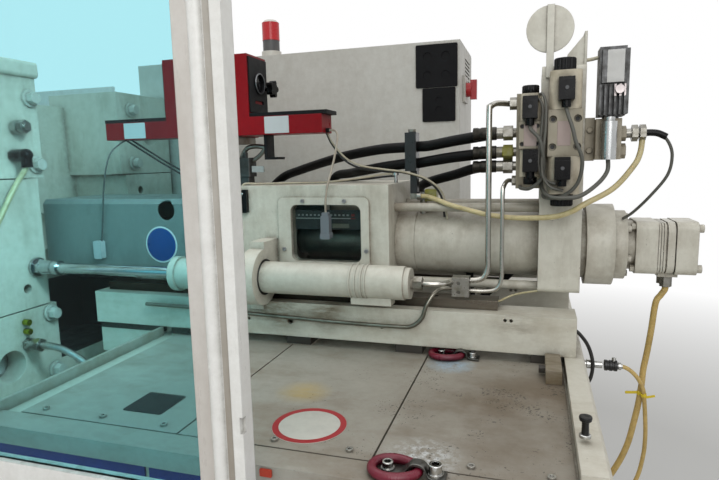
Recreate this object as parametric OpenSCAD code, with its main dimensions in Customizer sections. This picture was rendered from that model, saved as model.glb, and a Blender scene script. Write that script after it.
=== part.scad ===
// Injection moulding machine: bed, hydraulic clamp, sliding guard and injection carriage.
// X runs from the clamp end to the injection end, Y away from the operator, Z up.
// Inside at_axis() the origin is on the injection axis, at the fixed platen's rear face.

/* [Machine] */
// Height of the injection axis above the floor
axis_h = 1250; // [1100:1:1400]
// Height of the levelling feet under the bed
foot_h = 70; // [50:1:120]
// Running clearance between a slide and its way, per side
slide_gap = 0.05; // [0.03:0.01:0.1]
// Gap between round faces that belong to different bodies
body_gap = 0.3; // [0.3:0.1:1]

/* [Bed] */
// Half width of the bed over its side walls
bed_half_w = 660; // [560:1:760]
// Depth of the deck below the injection axis
deck_drop = 223; // [200:1:260]
// Thickness of the deck sheets
deck_t = 6; // [4:1:12]
// Place of the deck's left rim along the machine
deck_x0 = 402; // [380:1:430]
// Width of one deck sheet along the machine
sheet_w = 316; // [280:1:320]
// Overhang of the deck's front lip beyond the bed wall
lip = 18; // [8:1:40]
// Place of the bed's injection end
bed_x1 = 1334; // [1325:1:1345]
// Length of the bed on the clamp side of the fixed platen
clamp_len = 2280; // [2240:1:2400]
// Depth of the clamp bed's top below the axis
clamp_drop = 385; // [385:1:385]
// Wall of the welded bed
bed_wall = 12; // [8:1:20]

/* [Slideways] */
// Depth of the rail's top face below the axis
rail_drop = 105; // [100:1:108]
// Thickness of the hardened rail
rail_t = 20; // [16:1:24]
// Width of the rail
rail_w = 50; // [40:1:60]
// Height of the box beam under the rail
beam_h = 80; // [70:1:90]
// Outer face of the beam from the axis
beam_y = 180; // [175:1:186]
// Width of the box beam
beam_w = 80; // [72:1:90]
// Left end of the beams
beam_x0 = 164; // [150:1:180]

/* [Clamp] */
// Half height and half width of the platens
platen_half = 385; // [385:1:385]
// Rise of the platen's legs above its middle
leg_rise = 38; // [30:1:46]
// Depth of the fixed platen
platen_t = 260; // [255:1:300]
// Depth of the recess that the nozzle end enters
recess_t = 205; // [200:1:210]
// Half width of the recess between the platen's legs
recess_half = 168; // [160:1:176]
// Bore for a mould's locating ring
ring_bore_d = 125; // [100:1:160]
// Distance of each tie bar from the axis, across and up
tie_off = 300; // [290:1:310]
// Diameter of the tie bars
tie_d = 80; // [60:1:90]
// Thickness of the moving and the cylinder platen
back_t = 180; // [150:1:200]
// Mould space between the platens at rest
daylight = 550; // [500:1:600]
// Closing stroke of the moving platen
clamp_stroke = 300; // [200:1:320]
// Diameter of the clamp ram
ram_d = 180; // [140:1:200]
// Outside diameter of the clamp cylinder
clamp_cyl_d = 320; // [280:1:360]

/* [Carriage] */
// Left face of the injection housing
house_x0 = 571; // [560:1:580]
// Length of the injection housing
house_len = 366; // [350:1:380]
// Half width of the injection housing
house_half = 128; // [124:1:132]
// Height of the housing's top above the axis
house_top = 141; // [135:1:150]
// Wall of the housing
house_wall = 24; // [18:1:30]
// Outside diameter of the injection cylinder
inj_d = 148; // [140:1:156]
// Length of the injection cylinder's tube
inj_len = 318; // [300:1:330]
// Thickness of the end plate
plate_t = 83; // [76:1:90]
// Half width of the end plate
plate_half = 120; // [110:1:126]
// Height of the end plate above the axis
plate_top = 373; // [360:1:390]
// Depth of the end plate below the axis
plate_low = 88; // [85:1:92]
// Distance of the traversing cylinders from the axis, across
trav_y = 200; // [196:1:206]
// Distance of the traversing cylinders from the axis, up or down
trav_z = 63; // [58:1:68]
// Outside diameter of a traversing cylinder
trav_d = 72; // [68:1:76]
// Bore of a traversing cylinder
trav_bore = 50; // [44:1:56]
// Diameter of a traversing rod
rod_d = 28; // [24:1:32]
// Forward stroke of the carriage
stroke_in = 150; // [80:1:150]
// Backward stroke of the carriage
stroke_out = 50; // [20:1:60]
// Injection stroke of the screw
shot = 90; // [60:1:95]

/* [Barrel] */
// Outside diameter of the barrel
barrel_d = 96; // [90:1:104]
// Diameter of the screw
screw_d = 45; // [30:1:50]
// Left end of the barrel
barrel_x0 = -62; // [-70:1:-55]
// Front of the sheet cover from the axis
cover_half = 120; // [110:1:126]

/* [Doser] */
// Middle of the doser along the machine
doser_x = 460; // [450:1:470]
// Length of the doser's base
doser_len = 613; // [560:1:640]
// Height of the doser's base
doser_base_h = 44; // [40:1:52]
// Underside of the doser's base above the axis
doser_z = 262; // [250:1:270]
// Width of the middle tower
tower_w = 236; // [210:1:260]
// Height of the middle tower
tower_h = 150; // [130:1:170]
// Front of the doser from the axis
doser_y = 80; // [70:1:90]

/* [Cabinet and guard] */
// Front face of the cabinet from the axis
cab_y = 410; // [400:1:430]
// Depth of the cabinet
cab_d = 302; // [260:1:340]
// Right face of the cabinet
cab_x1 = 1025; // [1000:1:1040]
// Width of the cabinet
cab_w = 1138; // [1100:1:1150]
// Top of the cabinet above the axis
cab_top = 545; // [520:1:570]
// Middle plane of the guard door from the axis
guard_y = 766; // [760:1:772]
// Width of the door's post
post_w = 67; // [60:1:74]
// Thickness of the door's frame
post_t = 24; // [22:1:28]
// Right edge of the guard door, as it stands open
door_x1 = 923; // [915:1:935]
// Width of the guard door
door_w = 1180; // [1150:1:1200]
// Depth of the guard door's foot below the axis
door_low = 252; // [248:1:258]
// Top of the guard door above the axis
door_top = 560; // [520:1:600]

/* [Hidden] */

$fn = 48;
eps = 0.02;
bed_low = -axis_h + foot_h;
deck_z = -deck_drop;
bed_top = deck_z - deck_t;
rim_w = 46;
bed_x0 = deck_x0 - rim_w;
rail_z = -rail_drop;
beam_top = rail_z - rail_t;
beam_low = beam_top - beam_h;
rail_y = beam_y - 30;
rail_x1 = 1176;
house_x1 = house_x0 + house_len;
house_low = rail_z + slide_gap;
plate_x0 = house_x1 + inj_len;
plate_x1 = plate_x0 + plate_t;
moving_x1 = -platen_t - daylight;
moving_x0 = moving_x1 - back_t;
end_x1 = moving_x0 - 450;
end_x0 = end_x1 - back_t;
ram_in = 350;
clamp_cyl_len = 560;
doser_front = -doser_y;
tower_d = 100;
base_d = 66;
door_x0 = door_x1 - door_w;
y_front = guard_y + post_t / 2;
cab_door_t = 20;
y_back = cab_y + cab_d + cab_door_t;
motor_x0 = plate_x1 + 112;
motor_len = 121;
bolt_stand = 5;
x_right = motor_x0 + motor_len + bolt_stand;
x_left = -clamp_len;
mid_x = (x_left + x_right) / 2;
mid_y = (y_back - y_front) / 2;

cream = [0.86, 0.85, 0.8];
steel = [0.62, 0.62, 0.6];
chrome = [0.8, 0.81, 0.82];
dark = [0.1, 0.1, 0.1];
blue = [0.1, 0.16, 0.5];
red = [0.72, 0.08, 0.1];

module at_axis() {
    translate([-mid_x, -mid_y, axis_h])
        children();
}

// Box between two opposite corners
module span(a, b) {
    translate(a)
        cube(b - a);
}

// Round bar along X from x0 to x1
module bar_x(x0, x1, d, y = 0, z = 0, sides = 48) {
    translate([x0, y, z])
        rotate([0, 90, 0])
            cylinder(d = d, h = x1 - x0, $fn = sides);
}

// Round bar along Y from y0 to y1
module bar_y(y0, y1, d, x = 0, z = 0, sides = 48) {
    translate([x, y0, z])
        rotate([-90, 0, 0])
            cylinder(d = d, h = y1 - y0, $fn = sides);
}

// Round bar along Z from z0 to z1
module bar_z(z0, z1, d, x = 0, y = 0, sides = 48) {
    translate([x, y, z0])
        cylinder(d = d, h = z1 - z0, $fn = sides);
}

// Rectangle with rounded corners, centred, as a flat shape
module round_rect(w, h, r) {
    difference() {
        square([w, h], center = true);
        for (sx = [-1, 1], sy = [-1, 1])
            translate([sx * (w / 2 - r), sy * (h / 2 - r)])
                difference() {
                    translate([sx > 0 ? 0 : -r - 1, sy > 0 ? 0 : -r - 1])
                        square(r + 1);
                    circle(r = r);
                }
    }
}

// Plate in the X-Z plane whose front face is at y
module face_plate(x, z, w, h, r, y, t) {
    translate([x, y + t, z])
        rotate([90, 0, 0])
            linear_extrude(t)
                round_rect(w, h, r);
}

// Plate in the Y-Z plane whose left face is at x
module cross_plate(y, z, w, h, r, x, t) {
    translate([x, y, z])
        rotate([90, 0, 90])
            linear_extrude(t)
                round_rect(w, h, r);
}

// Cap screw with a socket, its head's foot at the origin, along +Z
module cap_screw(d, h) {
    difference() {
        cylinder(d = d, h = h, $fn = 24);
        translate([0, 0, h * 0.45])
            cylinder(d = d * 0.55, h = h, $fn = 6);
    }
}

// Hexagon head on a round washer, foot at the origin, along +Z
module hex_bolt(af, h, washer_d) {
    cylinder(d = washer_d, h = h * 0.28, $fn = 32);
    intersection() {
        cylinder(d = af / cos(30), h = h, $fn = 6);
        cylinder(d1 = af * 1.8, d2 = af * 1.02, h = h, $fn = 32);
    }
}

function unit(v) = v / norm(v);
function knot(p, i) = p[max(0, min(i, len(p) - 1))];
function curve(a, b, c, d, t) =
    0.5 * (2 * b + (c - a) * t + (2 * a - 5 * b + 4 * c - d) * t * t + (3 * b - a - 3 * c + d) * t * t * t);
function route(p, n) = [
    for (i = [0 : len(p) - 2], k = [0 : n - 1])
        curve(knot(p, i - 1), p[i], p[i + 1], knot(p, i + 2), k / n),
    p[len(p) - 1]];

// Tube swept along a smooth route through hand-chosen points
module hose(points, d, n = 4, sides = 10, ref = [0, 1, 0]) {
    path = route(points, n);
    last = len(path) - 1;
    rings = [for (i = [0 : last])
        let (t = unit(path[min(i + 1, last)] - path[max(i - 1, 0)]), a = unit(cross(t, ref)), b = cross(t, a))
            for (k = [0 : sides - 1])
                path[i] + d / 2 * (cos(360 * k / sides) * a + sin(360 * k / sides) * b)];
    walls = [for (i = [0 : last - 1], k = [0 : sides - 1])
        [i * sides + k, (i + 1) * sides + k, (i + 1) * sides + (k + 1) % sides, i * sides + (k + 1) % sides]];
    near_end = [for (k = [0 : sides - 1]) k];
    far_end = [for (k = [sides - 1 : -1 : 0]) last * sides + k];
    polyhedron(points = rings, faces = concat([near_end, far_end], walls));
}

// Bed

// Side outline of the bed: low clamp part, open well, high injection part
module bed_outline() {
    well = 34;
    polygon([
        [x_left, bed_low], [bed_x1, bed_low], [bed_x1, bed_top], [bed_x0, bed_top],
        [bed_x0, -620], [well, -620], [well, -clamp_drop], [x_left, -clamp_drop]]);
}

module bed_frame() {
    color(cream)
        at_axis()
            difference() {
                translate([0, bed_half_w, 0])
                    rotate([90, 0, 0])
                        linear_extrude(2 * bed_half_w)
                            bed_outline();
                // hollow under the deck
                span([bed_x0 + bed_wall, -bed_half_w + bed_wall, bed_low + 120],
                     [bed_x1 - bed_wall, bed_half_w - bed_wall, bed_top - 60]);
                // opening between the slideways
                span([bed_x0 + 60, -beam_y + beam_w, bed_top - 200],
                     [bed_x1 - 60, beam_y - beam_w, bed_top + 10]);
                // parts chute under the mould
                span([moving_x1 + 60, -260, bed_low - 1], [-platen_t - 40, 260, -clamp_drop + 1]);
                // chute mouth at the front
                span([moving_x1 + 60, -bed_half_w - 1, bed_low - 1], [-platen_t - 40, 0, bed_low + 420]);
                // hollow at the clamp end
                span([x_left + bed_wall, -bed_half_w + bed_wall, bed_low + 120],
                     [moving_x1 - 60, bed_half_w - bed_wall, -clamp_drop - 60]);
            }
}

panel_t = 3;

module bed_panels() {
    color(blue)
        at_axis()
            for (side = [-1, 1])
                translate([0, side > 0 ? bed_half_w : -bed_half_w - panel_t, 0]) {
                    for (i = [0 : 2])
                        span([bed_x0 + 14 + i * 320, 0, bed_low + 60], [bed_x0 + 326 + i * 320, panel_t, bed_top - 30]);
                    span([x_left + 14, 0, bed_low + 60], [moving_x1 + 40, panel_t, -clamp_drop - 30]);
                }
}

module levelling_feet() {
    color(steel)
        at_axis()
            for (x = [x_left + 120, -1200, -120, bed_x0 + 120, bed_x1 - 120], y = [-1, 1])
                translate([x, y * (bed_half_w - 90), -axis_h]) {
                    cylinder(d = 130, h = 22);
                    cylinder(d1 = 130, d2 = 60, h = 38);
                    cylinder(d = 30, h = foot_h, $fn = 24);
                    translate([0, 0, foot_h - 24])
                        cylinder(d = 52, h = 24, $fn = 6);
                }
}

// One deck sheet with a finger gap beside it, from x0 to x1 on one side of the slideway
seam = 3;
deck_back = beam_y - 2;

module deck_sheet(x0, x1, side) {
    y_in = deck_back;
    y_out = bed_half_w - 34;
    low = side < 0 ? -y_out : y_in;
    high = side < 0 ? -y_in : y_out;
    span([x0, low, bed_top], [x1, high, deck_z]);
}

sheet_ends = [for (i = [0 : 3]) i < 3 ? deck_x0 + i * sheet_w : bed_x1 - 27];

module deck_plates() {
    color(cream)
        at_axis()
            for (side = [-1, 1]) {
                for (i = [0 : 2])
                    deck_sheet(sheet_ends[i] + seam / 2, sheet_ends[i + 1] - seam / 2, side);
                // folded lip along the outer edge
                y0 = side < 0 ? -bed_half_w - lip : bed_half_w - 34 + seam;
                y1 = side < 0 ? -bed_half_w + 34 - seam : bed_half_w + lip;
                span([deck_x0 - rim_w, y0, bed_top], [bed_x1 - 27, y1, deck_z]);
                edge = side < 0 ? -bed_half_w - lip : bed_half_w + lip - 5;
                span([deck_x0 - rim_w, edge, bed_top - 24], [bed_x1 - 27, edge + 5, bed_top + eps]);
                // upstand at the left end
                yl = side < 0 ? -bed_half_w - lip : deck_back;
                yh = side < 0 ? -deck_back : cab_y - 4;
                span([bed_x0, yl, bed_top], [bed_x0 + 8, yh, deck_z + 16]);
            }
}

module deck_screws() {
    color(dark)
        at_axis()
            for (i = [0 : 2], f = [0.12, 0.5, 0.88])
                translate([sheet_ends[i] + f * (sheet_ends[i + 1] - sheet_ends[i]), -bed_half_w + 52, deck_z])
                    cap_screw(11, 4);
}

module end_rim() {
    rim_top = deck_z + 18;
    color(cream)
        at_axis() {
            span([bed_x1 - 25, -bed_half_w + 40, bed_top], [bed_x1, bed_half_w - 40, rim_top]);
            // bevelled outer lip
            translate([bed_x1, bed_half_w - 40, 0])
                rotate([90, 0, 0])
                    linear_extrude(2 * (bed_half_w - 40))
                        polygon([
                            [0, bed_top - 14], [14, bed_top - 14], [14, rim_top - 7], [9, rim_top],
                            [-eps, rim_top], [-eps, bed_top], [0, bed_top]]);
            // stop block for the carriage's hose guard
            span([bed_x1 - 62, -beam_y - 105, deck_z], [bed_x1 - 33, -beam_y - 8, deck_z + 26]);
            bar_x(bed_x1 - 74, bed_x1 - 62 + eps, 16, -beam_y - 60, deck_z + 12, 6);
        }
}

module slide_beams() {
    color(cream)
        at_axis()
            for (side = [-1, 1]) {
                y0 = side < 0 ? -beam_y : beam_y - beam_w;
                difference() {
                    span([beam_x0, y0, beam_low], [bed_x1 - 3, y0 + beam_w, beam_top]);
                    span([beam_x0 - 1, y0 + 9, beam_low + 9], [bed_x1 - 2, y0 + beam_w - 9, beam_top - 12]);
                    for (x = [712, 1193, 1205])
                        bar_y(y0 - 1, y0 + 12, x < 800 ? 14 : 7, x, beam_top - (x < 800 ? 44 : 12), 20);
                    for (x = [606, 931])
                        bar_y(y0 - 1, y0 + 12, 7, x, beam_top - 44, 20);
                }
                // feet of the beam on the bed
                for (x = [bed_x0 + 30, 700, 960, bed_x1 - 90])
                    span([x, y0 + 4, bed_top], [x + 60, y0 + beam_w - 4, beam_low + eps]);
                // bracket that ties the beam to the bed's left wall
                span([beam_x0, y0 + 12, beam_low - 82], [bed_x0, y0 + 26, beam_low + eps]);
            }
}

module guide_rails() {
    color([0.3, 0.2, 0.12])
        at_axis()
            for (side = [-1, 1]) {
                y0 = side < 0 ? -rail_y : rail_y - rail_w;
                difference() {
                    span([beam_x0 + 20, y0, beam_top], [rail_x1, y0 + rail_w, rail_z]);
                    for (x = [260 : 130 : rail_x1 - 20])
                        bar_z(rail_z - 9, rail_z + 1, 16, x, y0 + rail_w / 2, 20);
                }
            }
}

// Red transport brackets bolted to the bed: an open eye on a flat foot
module transport_eye(x, y) {
    translate([x, y, deck_z]) {
        difference() {
            union() {
                cylinder(d = 64, h = 12, $fn = 40);
                translate([-26, 0, 0])
                    span([0, -20, 0], [74, 20, 12]);
            }
            translate([0, 0, -1])
                cylinder(d = 32, h = 20, $fn = 32);
        }
        for (dx = [28, -44])
            translate([dx + 8, 0, 0])
                difference() {
                    cylinder(d = 38, h = 15, $fn = 32);
                    translate([0, 0, 5])
                        cylinder(d = 18, h = 20, $fn = 6);
                }
    }
}

module transport_brackets() {
    color([0.45, 0.07, 0.09])
        at_axis()
            for (y = [-beam_y - 12, -bed_half_w + 13])
                transport_eye(1086, y);
}

// Clamp

module platen_legs() {
    groove = 3;
    leg_in = recess_half - 20;
    leg_top = platen_half + leg_rise;
    difference() {
        union() {
            span([-platen_t, -platen_half - 15, -platen_half], [0, platen_half + 15, platen_half]);
            for (y = [-platen_half - 15, leg_in])
                span([-platen_t, y, platen_half - eps], [0, y + platen_half + 15 - leg_in, leg_top]);
            // hood on the near leg
            face_plate(-52, leg_top + 19.98, 132, 40, 10, -platen_half - 11, platen_half + 11 - leg_in);
        }
        // recess between the legs, a little wider at the middle blocks
        span([-recess_t, -leg_in, -platen_half + 55], [1, leg_in, platen_half + 1]);
        span([-recess_t, -recess_half, -recess_half], [1, recess_half, recess_half]);
        // seams between the blocks
        for (side = [-1, 1])
            span([-40, -platen_half - 16, side * recess_half - groove / 2],
                 [1, platen_half + 16, side * recess_half + groove / 2]);
        bar_x(-platen_t - 1, 1, ring_bore_d);
        for (y = [-1, 1], z = [-1, 1])
            bar_x(-platen_t - 1, 1, tie_d, y * tie_off, z * tie_off);
        // bores for the traversing rods
        for (s = [-1, 1])
            bar_x(-90, 1, rod_d, s * trav_y, s * trav_z, 32);
        // oil bores
        for (s = [-1, 1])
            bar_x(-30, 1, 24, s * (trav_y + 32), s * (trav_z + 52), 24);
        // tapped holes for mould clamps
        for (y = [-280 : 70 : 280], z = [-175, 175])
            bar_x(-platen_t - 1, -platen_t + 40, 14, y, z, 16);
    }
}

module fixed_platen() {
    color(cream)
        at_axis()
            platen_legs();
}

leg_bolt_y = recess_half + 4;

module platen_bolts() {
    color(steel)
        at_axis()
            for (y = [-leg_bolt_y, leg_bolt_y + 36], z = [-352, -194, 203, 371])
                translate([0, y, z])
                    rotate([0, 90, 0])
                        hex_bolt(28, 26, 44);
}

module platen_pipework() {
    pipe_y = -250;
    pipe_z = -256;
    color(steel)
        at_axis() {
            // stud with two nuts
            bar_x(0, 46, 18, -225, 296, 20);
            for (x = [6, 26])
                bar_x(x, x + 15, 34, -225, 296, 6);
            // elbow of the cooling hose
            bar_x(0, 34, 30, -236, 226, 6);
            translate([44, -236, 226])
                sphere(d = 32, $fn = 24);
            bar_z(196, 226, 26, 44, -236, 24);
            // straight fitting and tube at the foot of the platen
            bar_x(0, 14, 34, pipe_y, pipe_z, 6);
            bar_x(14, 34, 30, pipe_y, pipe_z, 32);
            bar_x(34, 46, 36, pipe_y, pipe_z, 6);
            hose([[40, pipe_y, pipe_z], [70, pipe_y, pipe_z], [104, pipe_y + 4, -262], [140, pipe_y + 10, -280],
                  [176, pipe_y + 16, -306], [206, pipe_y + 20, -330]], 18, 4, 12);
            // two plugs for the platen's sensors
            for (z = [-198, -222])
                bar_x(0, 16, 16, -252, z, 20);
        }
}

module tie_bars() {
    color(chrome)
        at_axis()
            for (y = [-1, 1], z = [-1, 1]) {
                bar_x(end_x0 - 30, -60, tie_d, y * tie_off, z * tie_off);
                bar_x(end_x0 - 70, end_x0, tie_d + 44, y * tie_off, z * tie_off, 6);
            }
}

ram_bore = ram_d + 2 * slide_gap;

module end_platen() {
    color(cream)
        at_axis()
            difference() {
                span([end_x0, -platen_half - 15, -platen_half], [end_x1, platen_half + 15, platen_half]);
                bar_x(end_x0 - 1, end_x1 + 1, ram_bore);
                for (y = [-1, 1], z = [-1, 1])
                    bar_x(end_x0 - 1, end_x1 + 1, tie_d, y * tie_off, z * tie_off);
            }
}

module clamp_cylinder() {
    color(cream)
        at_axis()
            difference() {
                union() {
                    bar_x(end_x0 - 46, end_x0, clamp_cyl_d + 90);
                    bar_x(end_x0 - clamp_cyl_len, end_x0 - 46 + eps, clamp_cyl_d);
                    bar_x(end_x0 - clamp_cyl_len - 24, end_x0 - clamp_cyl_len + eps, 120, 0, 0, 6);
                }
                bar_x(end_x0 - clamp_cyl_len + 40, end_x0 + 1, ram_bore);
                for (a = [0 : 30 : 359])
                    bar_x(end_x0 - 47, end_x0 - 28, 26, (clamp_cyl_d / 2 + 22) * cos(a), (clamp_cyl_d / 2 + 22) * sin(a), 20);
            }
}

tie_bore = tie_d + 2 * slide_gap;
ejector_d = 30;

module moving_platen() {
    color(cream)
        at_axis()
            difference() {
                union() {
                    span([moving_x0, -platen_half, -platen_half + 3], [moving_x1, platen_half, platen_half]);
                    bar_x(end_x0 - ram_in, moving_x0 + eps, ram_d);
                }
                for (y = [-1, 1], z = [-1, 1])
                    bar_x(moving_x0 - 1, moving_x1 + 1, tie_bore, y * tie_off, z * tie_off);
                // ejector pocket, open to both sides
                span([moving_x0 + 50, -platen_half - 1, -70], [moving_x1 - 60, platen_half + 1, 70]);
                bar_x(moving_x1 - 61, moving_x1 + 1, ejector_d + 2 * slide_gap, 0, 0, 32);
                for (y = [-280 : 70 : 280], z = [-175, 175])
                    bar_x(moving_x1 - 40, moving_x1 + 1, 14, y, z, 16);
            }
}

module ejector_plate() {
    back = moving_x0 + 50 + 2;
    color(steel)
        at_axis() {
            span([back, -150, -62], [back + 22, 150, 62]);
            bar_x(back + 20, moving_x1 - 6, ejector_d, 0, 0, 32);
        }
}

rod_tip = 640;
sleeve_x1 = 78;

module traverse_rods() {
    color(chrome)
        at_axis()
            for (s = [-1, 1]) {
                bar_x(-80, rod_tip + 90, rod_d, s * trav_y, s * trav_z);
                // piston
                bar_x(rod_tip + 90, rod_tip + 130, trav_bore - 2 * slide_gap, s * trav_y, s * trav_z);
                // rubber ring, lock nut and spacer sleeve at the platen
                bar_x(0, 8, 50, s * trav_y, s * trav_z);
                bar_x(8, 24, 42, s * trav_y, s * trav_z, 6);
                bar_x(24, sleeve_x1 - 20, 38, s * trav_y, s * trav_z);
                bar_x(sleeve_x1 - 17, sleeve_x1, 38, s * trav_y, s * trav_z);
            }
}

// Cabinet and beacon

cab_x0 = cab_x1 - cab_w;
cab_wall = 4;
cab_low = deck_z;

module cabinet() {
    color(cream)
        at_axis() {
            difference() {
                span([cab_x0, cab_y, cab_low], [cab_x1, cab_y + cab_d, cab_top]);
                span([cab_x0 + cab_wall, cab_y + cab_wall, cab_low + cab_wall],
                     [cab_x1 - cab_wall, cab_y + cab_d + 1, cab_top - cab_wall]);
                // vent slots in the right wall
                for (i = [0 : 6])
                    span([cab_x1 - cab_wall - 1, cab_y + 130, cab_top - 40 - i * 12],
                         [cab_x1 + 1, cab_y + 260, cab_top - 34 - i * 12]);
            }
            // mounting plate for the switchgear
            span([cab_x0 + 40, cab_y + 40, cab_low + 40], [cab_x1 - 40, cab_y + 44, cab_top - 60]);
            for (x = [cab_x0 + 80, cab_x1 - 100])
                span([x, cab_y + cab_wall - eps, cab_top - 200], [x + 20, cab_y + 40 + eps, cab_top - 180]);
            // plate of the main switch
            span([cab_x1 - eps, cab_y + 66, cab_top - 176], [cab_x1 + 8, cab_y + 146, cab_top - 96]);
        }
}

switch_y = cab_y + 106;
switch_z = cab_top - 136;

module switch_handle() {
    color(red)
        at_axis() {
            bar_x(cab_x1 + 8 + body_gap, cab_x1 + 24, 44, switch_y, switch_z, 36);
            span([cab_x1 + 20, switch_y - 9, switch_z - 30], [cab_x1 + 40, switch_y + 9, switch_z + 30]);
        }
}

module fan_panel(x, z, s, holes) {
    t = 4;
    difference() {
        face_plate(x, z, s, s, 4, cab_y - t, t);
        for (i = holes)
            bar_y(cab_y - t - 1, cab_y - t + 2, s * 0.2, x + i[0] * s * 0.22, z + i[1] * s * 0.22, 36);
    }
}

module fan_panels() {
    color(dark)
        at_axis() {
            fan_panel(cab_x1 - 70, cab_top - 72, 126, [[-1, 1], [1, 1], [-1, -1], [1, -1]]);
            fan_panel(cab_x1 - 63, cab_top - 187, 100, [[0, 0.6], [0, -0.7]]);
        }
}

module cabinet_leaf(x0, x1) {
    y0 = cab_y + cab_d + body_gap;
    y1 = cab_y + cab_d + cab_door_t;
    difference() {
        span([x0, y0, cab_low + 8], [x1, y1, cab_top - 2]);
        span([x0 + 3, y0 - 1, cab_low + 11], [x1 - 3, y1 - 3, cab_top - 5]);
    }
}

leaf_gap = 3;

module cabinet_door_left() {
    color(cream)
        at_axis() {
            cabinet_leaf(cab_x0 + 1, cab_x0 + cab_w / 2 - leaf_gap / 2);
            bar_y(cab_y + cab_d + 4, cab_y + cab_d + cab_door_t, 26, cab_x0 + cab_w / 2 - 60, 160, 32);
        }
}

module cabinet_door_right() {
    color(cream)
        at_axis() {
            cabinet_leaf(cab_x0 + cab_w / 2 + leaf_gap / 2, cab_x1 - 1);
            bar_y(cab_y + cab_d + 4, cab_y + cab_d + cab_door_t, 26, cab_x0 + cab_w / 2 + 60, 160, 32);
        }
}

beacon_x = 381;
beacon_y = cab_y + 62;

module beacon_base() {
    color([0.5, 0.5, 0.5])
        at_axis() {
            bar_z(cab_top, cab_top + 22, 66, beacon_x, beacon_y);
            bar_z(cab_top + 22 - eps, cab_top + 58, 56, beacon_x, beacon_y);
            translate([beacon_x, beacon_y, cab_top + 116])
                cylinder(d1 = 58, d2 = 40, h = 8);
        }
}

module beacon_lens() {
    color([0.8, 0.1, 0.12])
        at_axis()
            difference() {
                bar_z(cab_top + 58, cab_top + 116, 58, beacon_x, beacon_y);
                bar_z(cab_top + 57, cab_top + 112, 52, beacon_x, beacon_y);
            }
}

// Guard

rail_low = door_top + 3;
track_h = 70;
track_x0 = door_x0 - door_w - 10;

module guard_frame() {
    color(cream)
        at_axis()
            difference() {
                union() {
                    // top track that carries the door
                    span([track_x0, -guard_y - 12, rail_low + 4], [door_x1 + 8, -guard_y + 34, rail_low + track_h]);
                    span([track_x0, -guard_y + 30, rail_low + 8], [track_x0 + 60, bed_half_w + 10, rail_low + 66]);
                    // column and arm on the platen's near leg
                    span([-200, -360, platen_half + leg_rise], [-130, -300, rail_low + 66]);
                    span([-200, -guard_y + 30, rail_low + 8], [-130, -300 - eps, rail_low + 66]);
                    // cover over the clamp cylinder, open towards the mould
                    span([x_left, -guard_y + 30, -clamp_drop], [track_x0 + 60, bed_half_w + 10, rail_low + 66]);
                    // rear guard sheet
                    span([track_x0, bed_half_w - 4, -clamp_drop], [-440, bed_half_w + 10, rail_low - 40]);
                }
                span([x_left + 4, -guard_y + 34, -clamp_drop - 1], [track_x0 + 61, bed_half_w - 4 + eps, rail_low + 62]);
                // slot for the door's hangers
                span([track_x0 + 4, -guard_y - 6, rail_low], [door_x1 + 4, -guard_y + 6, rail_low + 50]);
                span([track_x0 + 4, -guard_y - 10, rail_low + 24], [door_x1 + 4, -guard_y + 10, rail_low + 50]);
            }
}

// Outline of the door's post: rounded face, groove and a thin outer edge
module post_outline() {
    front = -post_t / 2;
    translate([-post_w, front + 6])
        square([post_w, post_t - 6]);
    translate([-14.5, front])
        square([14.5, 7]);
    translate([-36.5, front + 10.5])
        circle(d = 21);
}

rail_face = 38;
roller_d = 22;

module window_slab() {
    span([door_x0 + 60 - 8, -guard_y - 3, -door_low + rail_face - 8],
         [door_x1 - post_w + 8, -guard_y + 3, door_top - 52]);
}

module guard_door() {
    color(cream)
        at_axis()
            difference() {
                door_shape();
                window_slab();
            }
}

module door_shape() {
            difference() {
                translate([door_x1, -guard_y, -door_low])
                    linear_extrude(door_top + door_low)
                        post_outline();
                span([door_x1 - 4, -guard_y - post_t / 2 - 1, -door_low + 129],
                     [door_x1 + 1, -guard_y - post_t / 2 + 7, -door_low + 149]);
            }
            span([door_x0, -guard_y - post_t / 2, -door_low], [door_x0 + 60, -guard_y + post_t / 2, door_top]);
            // foot and head rails
            span([door_x0 + 60 - eps, -guard_y - 11, -door_low], [door_x1 - post_w + eps, -guard_y + 11, -door_low + rail_face]);
            span([door_x0 + 60 - eps, -guard_y - 11, door_top - 60], [door_x1 - post_w + eps, -guard_y + 11, door_top]);
            // hangers in the track
            for (x = [door_x0 + 120, door_x1 - 160]) {
                span([x, -guard_y - 4, door_top - eps], [x + 60, -guard_y + 4, rail_low + 40]);
                bar_y(-guard_y - 8, -guard_y + 8, roller_d, x + 30, rail_low + 24 + body_gap + roller_d / 2, 28);
            }
}

module guard_window() {
    color([0.35, 0.7, 0.68, 0.5])
        at_axis()
            window_slab();
}

// Injection carriage

win_x = 788;
win_z = 30;
win_w = 171;
win_h = 132;
foot_half = trav_y - trav_d / 2 - 5;

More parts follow.
